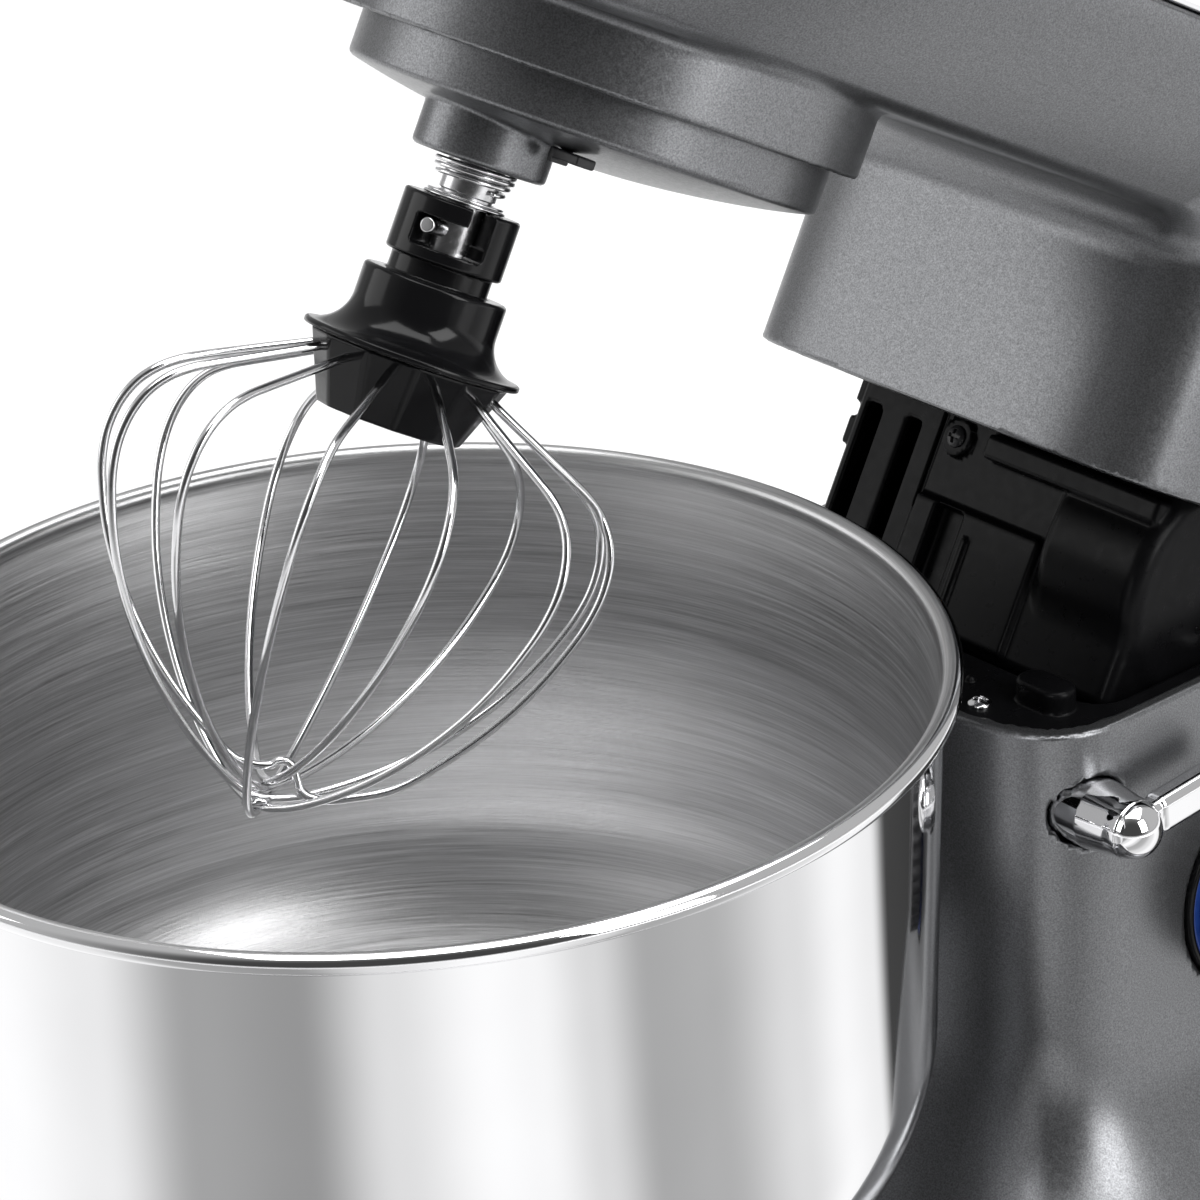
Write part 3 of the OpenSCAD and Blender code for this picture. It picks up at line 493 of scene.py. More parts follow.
# The material that carries each of the record's slots on the CAD nodes that stay.
SLOT_FINISH = {
    "painted_casting": "gunmetal_paint",
    "black_plastic": "gloss_black",
    "satin_plastic": "satin_black",
    "rubber": "soft_rubber",
    "bright_steel": "chrome",
    "steel": "satin_steel",
    "dark_steel": "zinc_plate",
    "cast_alu": "cast_alloy",
    "brass": "yellow_brass",
    "copper_windings": "wound_copper",
    "board_green": "board_green",
    "light_blue": "blue_lens",
    "gear_nylon": "gear_nylon",
}
node_slot = {s["node"]: s["material_slot"] for s in frame["record"]["subparts"]}
for node, obj in frame["nodes"].items():
    obj.data.materials.clear()
    obj.data.materials.append(finish[SLOT_FINISH[node_slot[node]]])


def finished(obj, material, body, *nodes):
    """Gives a piece its material, its body and the CAD nodes that it stands for."""
    obj.data.materials.clear()
    obj.data.materials.append(finish[material])
    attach(obj, body)
    if nodes:
        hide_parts(*nodes)
    return obj


# --- stand -------------------------------------------------------------------

COLUMN_POWERS = (4.1, 5)
BASE_POWERS = (2.4, 3.6)
BASE_WIDEST = 70
CORNER_DEPTH = 36
WALL = 3.5
FLARE = 54

base_low, base_high = span("stand_housing", STAND, 10, 30)
column_low, column_high = span("stand_housing", STAND, 100, 200)
seat_high = span("bowl_seat", STAND)[1]
base_top = seat_high[2] - 1
column_w = column_high[0]
column_front = column_low[1]
column_back = column_high[1]
column_top = column_high[2]
lever_at = place("lever_turn", STAND)
knob_at = place("knob_turn", STAND)
gland_low, gland_high = span("cord_gland", STAND)
gland_z = (gland_low[2] + gland_high[2]) / 2


def column(x, y, inset=0.0):
    return superellipse(x, y, column_w - inset, column_front + CORNER_DEPTH, column_front + inset,
                        column_back - inset, *COLUMN_POWERS)


def base(x, y, inset=0.0):
    return superellipse(x, y, base_high[0] - inset, BASE_WIDEST, base_low[1] + inset,
                        base_high[1] - inset, *BASE_POWERS)


def swing_room(y, z):
    """Room behind the hinge for the neck's lower edge."""
    start = hinge.y / MM + 4
    slope = radians(30.3)
    below = (column_top - 1.5 - z) * cos(slope) - (y - start) * sin(slope)
    return common(start - y, below, 1)


BEZEL_R = 25.6
LEVER_HUB_R = 8.1
# Holes in the stand's right side: centre, radius, how far in they start, and rounding of the edge.
SIDE_HOLES = [(lever_at, LEVER_HUB_R + 0.4, 50, 0.8), (knob_at, BEZEL_R + 0.3, 63.4, 0.8),
              (knob_at, 6, 40, 0)]


def stand_field(x, y, z):
    foot = base(x, y)
    solid = union(column(x, y), z - base_top, FLARE)
    solid = common(solid, foot, 14)
    solid = union(solid, column(x, y))
    solid = common(solid, 5 - z, 3)
    solid = common(solid, z - column_top, 0.9)
    inner = union(column(x, y, WALL), common(base(x, y, 8), z - 26))
    inner = union(inner, common(base(x, y, 20), z - base_top + 9))
    solid = cut(solid, inner)
    seat = common(cylinder(x, y, seat_high[0] + 0.4), base_top - 6 - z)
    solid = cut(solid, seat, 0.8)
    solid = cut(solid, swing_room(y, z), 1.0)
    for centre, radius, start, edge in SIDE_HOLES:
        hole = cylinder(y - centre.y, z - centre.z, radius)
        solid = cut(solid, common(hole, start - x), edge)
    return cut(solid, common(cylinder(x, z - gland_z, 7.5), column_back - 12 - y))


stand = carve("stand_shell", stand_field, base_low - (0, 0, 6), (base_high[0], base_high[1], column_top),
              1.5, STAND)
finished(stand, "gunmetal_paint", "stand", "stand_housing")

# --- head --------------------------------------------------------------------

HEAD_POWERS = (2.5, 5)
HEAD_WIDEST = 20

turret_z = place("carrier_spin", HEAD).z
neck_z = span("head_lower_shell", HEAD, 165, 175)[0][2]
trim_low, trim_high = span("trim_band", HEAD)
turret_r = span("head_lower_shell", HEAD, turret_z - 0.2, turret_z + 0.2)[1][0]
trim_z = trim_low[2]
web_z = turret_z + 15
SHELL = 3.0


def head_plan(x, y, inset=0.0):
    return superellipse(x, y, trim_high[0] - inset, HEAD_WIDEST, trim_low[1] + inset,
                        trim_high[1] - inset, *HEAD_POWERS)


def belly(x, y, z):
    """Head below the trim: its sides draw in towards a flat underside with a soft crease."""
    rise = np.clip((trim_z - z) / (trim_z - web_z), 0, 1.3)
    draw = 19.0
    lean = 1.9
    side = head_plan(x, y) + draw * rise ** lean
    steep = draw * lean * rise ** (lean - 1) / (trim_z - web_z)
    return common(side / np.hypot(1, steep), web_z - z, 3.0)


def lower_outer(x, y, z):
    neck = column(x, y)
    solid = union(belly(x, y, z), neck, 13)
    solid = union(solid, cylinder(x, y, turret_r), 2.5)
    low = np.where(y < 90, turret_z, neck_z)
    return common(solid, low - z, 0.9)


def lower_field(x, y, z):
    solid = common(lower_outer(x, y, z), z - trim_z, 0.4)
    inner = union(belly(x, y, z) + SHELL, column(x, y, SHELL))
    inner = union(inner, cylinder(x, y, turret_r - SHELL))
    solid = cut(solid, inner)
    for side in (-1, 1):
        solid = cut(solid, common(cylinder(x - side * 46, y - 66, 3.1), z - turret_z - 40), 0.5)
    return solid


lower = carve("lower_head_shell", lower_field, (-trim_high[0], trim_low[1], neck_z),
              (trim_high[0], trim_high[1], trim_z), 1.2, HEAD)
finished(lower, "gunmetal_paint", "head", "head_lower_shell")

dome_low, dome_high = span("head_upper_shell", HEAD)


def dome_field(x, y, z):
    """Upper head: a quarter ellipse from the trim up to a gently flat top."""
    def outer(inset):
        height = dome_high[2] - dome_low[2] - inset
        width = 50.0
        p = np.maximum(head_plan(x, y, 0.3 + inset) + width, 0) / width
        q = np.maximum(z - dome_low[2], 0) / height
        ball = (p ** 2.3 + q ** 2.3) ** (1 / 2.3)
        return np.maximum((ball - 1) * height, head_plan(x, y, 0.3 + inset))
    solid = cut(outer(0), outer(SHELL))
    return common(solid, dome_low[2] - z, 0.6)


dome = carve("upper_head_shell", dome_field, dome_low, dome_high, 2.0, HEAD)
finished(dome, "gunmetal_paint", "head", "head_upper_shell")

# --- head trim, disc and drive end --------------------------------------------

DISC_R = 50.4
DISC_DROP = 9.7
DOME_IN = 26.5
DOME_OUT = 49.5
DOME_DEEP = 6.0
BOSS_R = 14.1
SHAFT_R = 5.95
SHAFT_ROOM = 6.05
orbit_x, orbit_y = orbit.x / MM, orbit.y / MM
disc_box = span("planetary_disc", HEAD)


def trim_field(x, y, z):
    plan = head_plan(x, y)
    band = common(plan, slab(z, trim_z + 0.3, trim_high[2] - 0.3), 1.6)
    return cut(band, plan + SHELL, 0.5)


trim = carve("trim_band_chrome", trim_field, trim_low, trim_high, 1.3, HEAD)
finished(trim, "chrome", "head", "trim_band")


def disc_field(x, y, z):
    """Planetary disc: a shallow cone underneath, and the off-centre boss of the beater shaft."""
    r = np.hypot(x, y)
    fall = DOME_DEEP / (DOME_OUT - DOME_IN)
    cone = (turret_z - DISC_DROP - fall * np.clip(DOME_OUT - r, 0, None) - z) / hypot(1, fall)
    under = common(cone, turret_z - DISC_DROP - DOME_DEEP - z, 6)
    solid = common(common(r - DISC_R, under, 1.3), z - turret_z - 3, 0.5)
    from_shaft = np.hypot(x - orbit_x, y - orbit_y)
    boss = common(from_shaft - BOSS_R, slab(z, disc_box[0][2], turret_z - 5), 1.1)
    solid = union(solid, boss, 1.2)
    return cut(solid, common(from_shaft - 9.4, z - disc_box[0][2] - 4), 0.6)


disc = carve("planetary_disc_cast", disc_field, (-DISC_R, -DISC_R, disc_box[0][2]),
             (DISC_R, DISC_R, turret_z + 3), 0.8, HEAD)
finished(disc, "gunmetal_paint", "carrier", "planetary_disc")

CLIP_HALF = 2.6
clip_low, clip_high = span("disc_clip", HEAD)


def clip_field(x, y, z):
    """Small folded catch on the disc's underside."""
    middle = (clip_low + clip_high) / 2
    front, back = middle[1] - CLIP_HALF, middle[1] + CLIP_HALF
    plate = box(x, y, z, (clip_low[0] + 0.2, front, middle[2] - 0.6),
                (clip_high[0] - 0.2, back, clip_high[2]), 0.5)
    window = box(x, y, z, middle - (1.7, 1.2, 3), middle + (1.7, 1.2, 0.5), 0.3)
    lip = box(x, y, z, (clip_low[0] + 0.2, front, clip_low[2]),
              (clip_low[0] + 1.4, back, clip_high[2]), 0.4)
    return union(cut(plate, window, 0.2), lip, 0.3)


clip = carve("disc_catch", clip_field, clip_low, clip_high, 0.25, HEAD)
finished(clip, "satin_black", "carrier", "disc_clip")

PIN_DROP = 36.2
PIN_R = 1.65
PIN_AZIMUTH = radians(-70.6)
COLLAR_DROP = (30.3, 43.1)
COLLAR_R = 12.2
shaft_low, shaft_high = span("beater_shaft", PLANET)

shaft_line = rounded([(0, shaft_low[2]), (SHAFT_R, shaft_low[2]), (SHAFT_R, turret_z - 29.4),
                      (SHAFT_R - 0.5, turret_z - 29.2), (SHAFT_R - 0.5, turret_z - 28.4),
                      (SHAFT_R, turret_z - 28.2), (SHAFT_R, shaft_high[2]), (0, shaft_high[2])],
                     [0, 0.8, 0.1, 0.1, 0.1, 0.1, 0.5, 0])
shaft = lathe("beater_spindle", shaft_line, PLANET, 96)
finished(shaft, "satin_steel", "beater", "beater_shaft")

PIN = (shifted(PLANET, 0, 0, turret_z - PIN_DROP) @ Matrix.Rotation(PIN_AZIMUTH, 4, "Z")
       @ Matrix.Rotation(radians(90), 4, "Y"))
pin_line = rounded([(0, -12), (PIN_R, -12), (PIN_R, 12), (0, 12)], 0.45)
pin = lathe("drive_pin", pin_line, PIN, 48)
finished(pin, "satin_steel", "beater", "cross_pin")


def tube_line(inner, outer, low, high):
    return [(inner, low), (outer, low), (outer, high), (inner, high), (inner, low)]


def washer(radius, low, high):
    line = rounded(tube_line(SHAFT_ROOM, radius, low, high), (high - low) * 0.45, 4)
    return lathe("washer", line, PLANET, 96)


collar_z = turret_z - COLLAR_DROP[0]
washers = joined("washers", [washer(8.6, collar_z + 0.1, collar_z + 0.8),
                             washer(8.1, collar_z + 0.9, collar_z + 1.4)])
finished(washers, "bright_wire", "beater", "shaft_washers")

SPRING_TURNS = 3.2
turns = np.linspace(0, 1, 160)
coil_r = 7.0 + 1.1 * np.clip(turns * 1.6, 0, 1)
coil_z = turret_z - 26.6 + 4.3 * turns ** 0.8
angle = 2 * pi * SPRING_TURNS * turns
spring = wire("return_spring", np.stack([coil_r * np.cos(angle), coil_r * np.sin(angle), coil_z], 1), 0.5,
              PLANET, 12)
finished(spring, "bright_wire", "beater", "shaft_spring")

# --- whisk -------------------------------------------------------------------

HUB_DROP = 47.0
RIM_DROP = (61.3, 62.7)
RIM_R = 22.8
NECK_R = 10.6
HUB_R = 15.1
FACETS = 12
SLOT_SPAN = radians(52)
SLOT_DROP = (34.2, 40.4)


def keyway(x, y, z):
    """J-shaped way for the drive pin: down from the collar's top edge, then along to the pin."""
    mid = PIN_AZIMUTH + SLOT_SPAN / 2 - radians(1)
    off = np.abs((np.arctan2(y, x) - mid + pi) % (2 * pi) - pi)
    along = (off - SLOT_SPAN / 2 - radians(13)) * np.hypot(x, y)
    passage = common(along, slab(z, turret_z - SLOT_DROP[1], turret_z - SLOT_DROP[0]), 0.9)
    a = PIN_AZIMUTH + SLOT_SPAN
    leg = common(np.abs(y * cos(a) - x * sin(a)) - 2.5, -x * cos(a) - y * sin(a))
    return union(passage, common(leg, turret_z - SLOT_DROP[1] + 3 - z), 0.3)


def hub_field(x, y, z):
    r = np.hypot(x, y)
    collar = common(r - COLLAR_R, slab(z, turret_z - COLLAR_DROP[1], collar_z), 0.7)
    collar = cut(cut(collar, keyway(x, y, z), 0.25), keyway(-x, -y, z), 0.25)
    stem = common(r - NECK_R, slab(z, turret_z - HUB_DROP - 3, turret_z - COLLAR_DROP[1] + 1))
    barrel = common(r - HUB_R, z - turret_z + HUB_DROP, 0.9)
    rim = common(r - RIM_R, z - turret_z + RIM_DROP[0], 0.6)
    bell = common(union(barrel, rim, 7.6), turret_z - RIM_DROP[1] - z, 0.5)
    solid = union(collar, union(stem, bell, 0.3), 0.3)
    return cut(solid, common(r - SHAFT_ROOM, turret_z - 53 - z), 0.3)


hub = carve("whisk_socket", hub_field, (-RIM_R, -RIM_R, turret_z - RIM_DROP[1]), (RIM_R, RIM_R, collar_z),
            0.4, PLANET)
finished(hub, "gloss_black", "whisk", "whisk_hub")

STRAND_PHASE = 8
FACET_TOP_R = 20.3
FACET_LOW_R = 14.8
block_high = turret_z - 63.0
block_low = turret_z - 77.0


def retainer_field(x, y, z):
    """Twelve-sided block that the wires come out of."""
    down = (block_high - z) / (block_high - block_low)
    reach = FACET_TOP_R + (FACET_LOW_R - FACET_TOP_R) * down
    solid = slab(z, block_low, block_high)
    tilt_part = cos(atan2(FACET_TOP_R - FACET_LOW_R, block_high - block_low))
    for k in range(FACETS):
        a = radians(STRAND_PHASE + k * 360 / FACETS)
        solid = common(solid, (x * cos(a) + y * sin(a) - reach) * tilt_part, 0.45)
    return solid


block = carve("wire_block", retainer_field, (-21, -21, block_low), (21, 21, block_high), 0.45, PLANET)
finished(block, "gloss_black", "whisk", "wire_retainer")

WIRE_R = 0.93
# Each wire's two halves leave the block on opposite facets, and lie a little off them further out.
LOOPS = [(8, 11, 191), (38, 53, 232), (68, 64, 249), (98, 99, 278), (128, 127, 307), (158, 158, 337)]
TIP_ORDER = (2, 0, 3, 4, 1, 5)
# Half a wire as (radius, drop), from inside the block to just beside the tip.
HALF = [(15.5, 64.4), (18, 65.6), (21, 67.1), (27, 70), (33, 72.9), (39, 75.8), (43.2, 78), (47.2, 81),
        (50.3, 85), (52.2, 90), (52.8, 96), (51.9, 103), (49.8, 110), (46.6, 118), (41.8, 127),
        (34.8, 137), (25.8, 147), (15, 155.9), (6.5, 160.9)]
BEND_DROP = 96
TIP_DROP = 162.6
TIP_STEP = 1.9
# One wire is bent up into an eye beside the tip, which keeps the others together.
EYE_LOOP = 1
EYE_TIP = 152.5
EYE = [(18.5, 151.2), (12, 153.8), (8.2, 153.4), (6.4, 151.4), (5.0, 149.4), (3.2, 148.4), (1.6, 148.8),
       (0.2, 150.2)]


def half_strand(exit_azimuth, azimuth, tip, eye=False):
    line = []
    for r, drop in HALF[:-2] + EYE if eye else HALF:
        if drop > BEND_DROP:
            drop = BEND_DROP + (drop - BEND_DROP) * (tip - BEND_DROP) / (TIP_DROP - BEND_DROP)
        swing = min(max((r - 21) / 26, 0), 1) if drop < BEND_DROP else 1
        a = radians(exit_azimuth + (azimuth - exit_azimuth) * swing)
        line.append((r * cos(a), r * sin(a), turret_z - drop))
    return line


loops = []
for number, ((exit_azimuth, first, second), order) in enumerate(zip(LOOPS, TIP_ORDER)):
    tip = TIP_DROP - TIP_STEP * order
    if number == EYE_LOOP:
        out = half_strand(exit_azimuth, first, TIP_DROP, eye=True)
        back = half_strand(exit_azimuth + 180, second, EYE_TIP)
        path = smooth_path(out + back[::-1], 8)
    else:
        out = half_strand(exit_azimuth, first, tip)
        back = half_strand(exit_azimuth + 180, second, tip)
        path = smooth_path(out + [(0, 0, turret_z - tip)] + back[::-1], 8)
    loops.append(wire("loop", path, WIRE_R, PLANET, 14))
TIE_R = 2.3
turns = np.linspace(0, 1, 60)[:-1] * 2 * pi
tie = np.stack([TIE_R * np.cos(turns), TIE_R * np.sin(turns),
                turret_z - TIP_DROP + 2.4 * TIP_STEP + 1.1 * np.sin(turns + 1)], 1)
loops.append(wire("tie", tie, 0.7, PLANET, 12, closed=True))
whisk = joined("whisk_loops", loops)
finished(whisk, "bright_wire", "whisk", "whisk_wires")

# --- bowl --------------------------------------------------------------------

BEAD = 2.3
WALL_IN = 4.2
BELOW_RIM = 79
TAPER = 3.6
BEND = 50
FLOOR_BEND = 30
SHEET = 1.0
bowl_low, bowl_high = span("bowl", STAND)
bowl_r = bowl_high[0]
rim_z = bowl_high[2] - BEAD


def bowl_side(inset):
    """The bowl's wall from under the rim to the middle of its floor, pushed inwards."""
    top_r, low_r = bowl_r - WALL_IN, bowl_r - WALL_IN - TAPER
    bend_z = rim_z - BELOW_RIM
    half = radians(45)
    centre = (low_r - BEND, bend_z)
    knee = (centre[0] + BEND * cos(half), bend_z - BEND * sin(half))
    drop = FLOOR_BEND * (1 - cos(half))
    low = (knee[0] - (knee[1] - bowl_low[2] - drop), bowl_low[2] + drop)
    line = [(top_r - inset, rim_z), (low_r - inset, bend_z)]
    for a in np.radians(np.arange(3, 46, 3)):
        line.append((centre[0] + (BEND - inset) * cos(a), bend_z - (BEND - inset) * sin(a)))
    for a in np.radians(np.arange(45, 91, 5)):
        line.append((low[0] - FLOOR_BEND * sin(half) + (FLOOR_BEND - inset) * cos(a),
                     low[1] + FLOOR_BEND * cos(half) - (FLOOR_BEND - inset) * sin(a)))
    line += [(r, bowl_low[2] + inset) for r in (45, 36, 27, 18, 9, 3)]
    return line


def bead_line():
    """Rolled rim: almost a full turn from inside the wall, over the top, to the outside."""
    centre = bowl_r - BEAD
    return [(centre + BEAD * cos(a), rim_z + BEAD * sin(a))
            for a in np.radians(np.arange(196, -76, -8))]


bowl_line = [(0, bowl_low[2])] + bowl_side(0)[::-1][:-1] + [(bowl_r - WALL_IN, rim_z - 4)]
bead = bead_line()[::-1]
bowl_line += [(bowl_r - WALL_IN, rim_z - BEAD)] + bead[2:]
bowl_line += [(bowl_r - WALL_IN - SHEET, rim_z - 2.2)] + bowl_side(SHEET)[1:] + [(0, bowl_low[2] + SHEET)]
bowl = lathe("bowl_steel", bowl_line, STAND, 256, 50)
finished(bowl, "mirror_steel", "bowl", "bowl")
bowl.data.materials.append(finish["spun_steel"])
inside_r = bowl_r - 0.8 * BEAD
for face in bowl.data.polygons:
    middle = face.center / MM
    radius = hypot(middle.x, middle.y)
    inward = face.normal.x * middle.x + face.normal.y * middle.y < 0 or face.normal.z > 0.5
    if inward and radius < inside_r:
        face.material_index = 1

# --- neck cover, tray and their screws ----------------------------------------

COVER_HALF = 50
COVER_FLOOR = 120
DRUM = 20
COVER_WALL = 2.5
cover_front = column_front + 36
cover_top = neck_z + 13
cover_screw_x = -16
cover_screw_z = neck_z - 6
# Boxes that shape the cover: how, lowest and highest corner with y from the cover's front, rounding of
# the box and of the edge where it meets the rest.
COVER_BOXES = [
    (union, (-51.5, 1, 153.5), (-47, 8, 160.5), 0.8, 0.4),
    (union, (-51.5, 1, 163.5), (-47, 8, 170.5), 0.8, 0.4),
    (union, (-5, -4, 162.5), (49, 8, 168.5), 1.2, 1),
    (union, (-3.4, -2.5, 126), (-1.8, 2, 144), 0.5, 0.6),
    (union, (-22, -1.6, 122), (18, 3, 150), 1.2, 0.8),
    (cut, (-15, -5, 124), (-6, 2.3, 149), 1, 0.4),
    (cut, (-22.6, -5, 146), (-21.6, 0.8, 172), 0.2, 0.3),
    (cut, (-46.5, -6, 128), (-41.5, 8, 165), 1.2, 0.5),
    (cut, (-33.5, -6, 128), (-28.5, 8, 165), 1.2, 0.5),
]
hinge_y, hinge_z = hinge.y / MM, hinge.z / MM


def cover_field(x, y, z):
    """Moulding in the neck: slotted front, ledge under the neck's edge and rounded bosses."""
    def shell(inset):
        front = box(x, y, z, (-COVER_HALF + inset, cover_front + inset, COVER_FLOOR + inset),
                    (COVER_HALF - inset, hinge_y + DRUM - 6 - inset, cover_top + (40 if inset else 0)), 3)
        drum = common(cylinder(y - hinge_y, z - hinge_z, DRUM - inset), np.abs(x) - COVER_HALF + inset, 1)
        return common(union(front, drum, 2), column(x, y, 11 + inset))
    solid = shell(0)
    bulge = cylinder(y - cover_front - 22, z - COVER_FLOOR - 32, 27)
    bulge = common(bulge, slab(x, 20, COVER_HALF + 1.5), 4)
    solid = union(solid, bulge, 2)
    for join, low, high, r, edge in COVER_BOXES:
        solid = join(solid, box(x, y - cover_front, z, low, high, r), edge)
    boss = cylinder(x - cover_screw_x, z - cover_screw_z, 4.6)
    boss = common(boss, slab(y, cover_front - 1.2, cover_front + 2), 0.6)
    solid = union(solid, boss, 0.3)
    solid = cut(solid, cylinder(y - hinge_y, z - hinge_z, 7.5))
    solid = cut(solid, cylinder(x - cover_screw_x, z - cover_screw_z, 1.4) + 0 * y)
    return cut(common(solid, z - cover_top, 0.3), shell(COVER_WALL))


cover = carve("neck_moulding", cover_field, (-COVER_HALF - 2, cover_front - 7, COVER_FLOOR - 5),
              (COVER_HALF + 2, hinge_y + DRUM + 1, cover_top), 1.05, HEAD)
finished(cover, "moulded_black", "head", "neck_cover")


def screw_field(radius, height):
    def field(x, y, z):
        head = np.sqrt(x * x + y * y + (z - height + 1.5 * radius) ** 2) - 1.5 * radius
        head = common(common(head, cylinder(x, y, radius), 0.2), -z)
        for a, b in ((x, y), (y, x)):
            arm = box(a, b, z, (-0.62 * radius, -0.16 * radius, height - 0.9),
                      (0.62 * radius, 0.16 * radius, 9), 0.1)
            head = cut(head, arm, 0.08)
        return head
    return field


def screws(name, node, radius, height, places, turn, material, body, space):
    """Cross-headed screws: only their heads show, at each place along a turned axis."""
    made = []
    for place_mm in places:
        made.append(carve("head", screw_field(radius, height), (-radius, -radius, 0),
                          (radius, radius, height), 0.16, shifted(space, *place_mm) @ turn))
    return finished(joined(name, made), material, body, node)


TRAY_DROP = 2.5
TRAY_T = 3
WELL_HALF = 54
well_front = column_front + 28.5
tray_z = column_top - TRAY_DROP
TRAY_SCREWS = [(-33, column_front + 12.5), (33, column_front + 12.5), (-57.6, 190), (57.6, 190)]


def tray_field(x, y, z):
    """Tray in the top of the column, with its two low pegs and a moulded dimple."""
    plan = column(x, y, WALL + 0.2)
    plate = common(plan, slab(z, tray_z - TRAY_T, tray_z), 0.4)
    well = common(np.abs(x) - WELL_HALF, well_front - y, 8)
    plate = cut(plate, well, 0.8)
    wall = common(well, -(well + 1.6), 0)
    wall = common(wall, slab(z, tray_z - 14, tray_z - 1))
    plate = union(plate, common(common(wall, plan), well_front + 12 - y), 0.5)
    for side in (-1, 1):
        along = np.maximum(np.abs(x - side * 43.5) - 3.2, 0)
        peg = common(np.hypot(along, y - column_front - 22.5) - 4.3, slab(z, tray_z - 1, tray_z + 5.6), 1.3)
        plate = union(plate, peg, 0.7)
    dimple = np.sqrt((x - 23.6) ** 2 + (y - 141.9) ** 2 + (z - tray_z - 0.2) ** 2) - 1.3
    plate = union(plate, dimple, 0.2)
    for sx, sy in TRAY_SCREWS:
        plate = cut(plate, cylinder(x - sx, y - sy, 1.7) + 0 * z)
    return cut(plate, swing_room(y, z), 0.8)


tray = carve("tray_moulding", tray_field, (-column_w, column_front, tray_z - 14),
             (column_w, column_back, tray_z + 6), 1.0, STAND)
finished(tray, "moulded_black", "stand", "column_tray")
screws("tray_screw_heads", "tray_screws", 2.8, 1.5, [(x, y, tray_z) for x, y in TRAY_SCREWS],
       Matrix.Rotation(0.4, 4, "Z"), "bright_wire", "stand", STAND)
screws("cover_screw_head", "neck_cover_screw", 2.6, 1.3,
       [(cover_screw_x, cover_front - 1.3, cover_screw_z)],
       Matrix.Rotation(radians(90), 4, "X"), "satin_black", "head", HEAD)

# --- lever, knob and gland ------------------------------------------------------

BALL_R = 6.9
BAR_H = 9.0
BAR_T = 6.4
BAR_RISE = radians(5)
lever_low, lever_high = span("lever_arm", STAND)
ball_x = lever_high[0] - BALL_R - 0.1
# The hub starts inside the stand's curved side, and goes over its bushing.
bushing_low, bushing_high = span("lever_bushing", STAND)
hub_x = bushing_low[0] + 1


def lever_field(x, y, z):
    dy, dz = y - lever_at.y, z - lever_at.z
    r = np.hypot(dy, dz)
    lean = (LEVER_HUB_R - BALL_R) / (ball_x - column_w)
    barrel = common(r - LEVER_HUB_R + lean * np.maximum(x - column_w, 0), slab(x, hub_x, ball_x + 1))
    barrel = cut(barrel, common(r - 6.2, x - bushing_high[0] - 0.3))
    ball = np.sqrt((x - ball_x) ** 2 + r * r) - BALL_R
    hub = union(barrel, ball, 0.6)
    along = dy * cos(BAR_RISE) + dz * sin(BAR_RISE)
    high = dz * cos(BAR_RISE) - dy * sin(BAR_RISE)
    reach = lever_high[1] - lever_at.y - 0.5
    bar = box(x, along, high, (ball_x - BAR_T / 2, 6.2, -BAR_H / 2),
              (ball_x + BAR_T / 2, reach, BAR_H / 2), 2.4)
    root = box(x, along, high, (ball_x - BAR_T / 2 + 0.4, 0, -BAR_H / 2 + 0.4),
               (ball_x + BAR_T / 2 - 0.4, 12, BAR_H / 2 - 0.4), 2.2)
    return union(np.minimum(hub, root), bar, 0)


lever = carve("lock_lever", lever_field, (hub_x, lever_at.y - 9, lever_low[2] - 1),
              (lever_high[0], lever_high[1], lever_high[2] + 1), 0.42, STAND)
finished(lever, "chrome", "lever", "lever_arm")

KNOB = shifted(STAND, 0, knob_at.y, knob_at.z) @ Matrix.Rotation(radians(90), 4, "Y")
knob_low, knob_high = span("speed_knob", STAND)
KNOB_R = 22.9
GRIPS = 36


def knob_field(x, y, z):
    """Knob with a gripped edge and a raised bar; x, y and z are the knob's own, z outwards."""
    r = np.hypot(x, y)
    ripple = 0.35 * (1 + np.cos(GRIPS * np.arctan2(y, x)))
    low, high = knob_low[0], knob_high[0] - 1
    body = common(r - KNOB_R + ripple, slab(z, low, high - 0.6), 2.2)
    cap = box(x, y, z, (-KNOB_R + 3, -2.4, high - 5), (KNOB_R - 3, 2.4, high + 0.6), 1.0)
    dish = np.sqrt(x * x + y * y + (z - high - 55) ** 2) - 56.4
    solid = union(cut(body, dish, 1.0), cap, 1.2)
    return cut(solid, common(r - 3.05, z - low - 9))


knob = carve("speed_dial", knob_field, (-KNOB_R, -KNOB_R, knob_low[0]), (KNOB_R, KNOB_R, knob_high[0]), 0.6,
             KNOB)
finished(knob, "satin_black", "knob", "speed_knob")

BEZEL_BORE = 5.9
inner_x, outer_x = [corner[0] for corner in span("knob_bezel", STAND)]
bezel_line = rounded([(BEZEL_BORE, inner_x), (BEZEL_R, inner_x), (BEZEL_R, outer_x),
                      (BEZEL_R - 1.4, outer_x), (BEZEL_R - 1.4, inner_x + 1.1),
                      (BEZEL_BORE, inner_x + 1.1), (BEZEL_BORE, inner_x)],
                     [0, 0.2, 0.8, 0.8, 0.2, 0.2, 0])
finished(lathe("dial_bezel", bezel_line, KNOB, 160), "gloss_black", "stand", "knob_bezel")
ring_low, ring_high = span("knob_light_ring", STAND)
RING_R = (21.9, 24.0)
ring_line = rounded(tube_line(*RING_R, ring_low[0], ring_high[0]), 0.35)
finished(lathe("dial_light", ring_line, KNOB, 160), "blue_lens", "stand", "knob_light_ring")

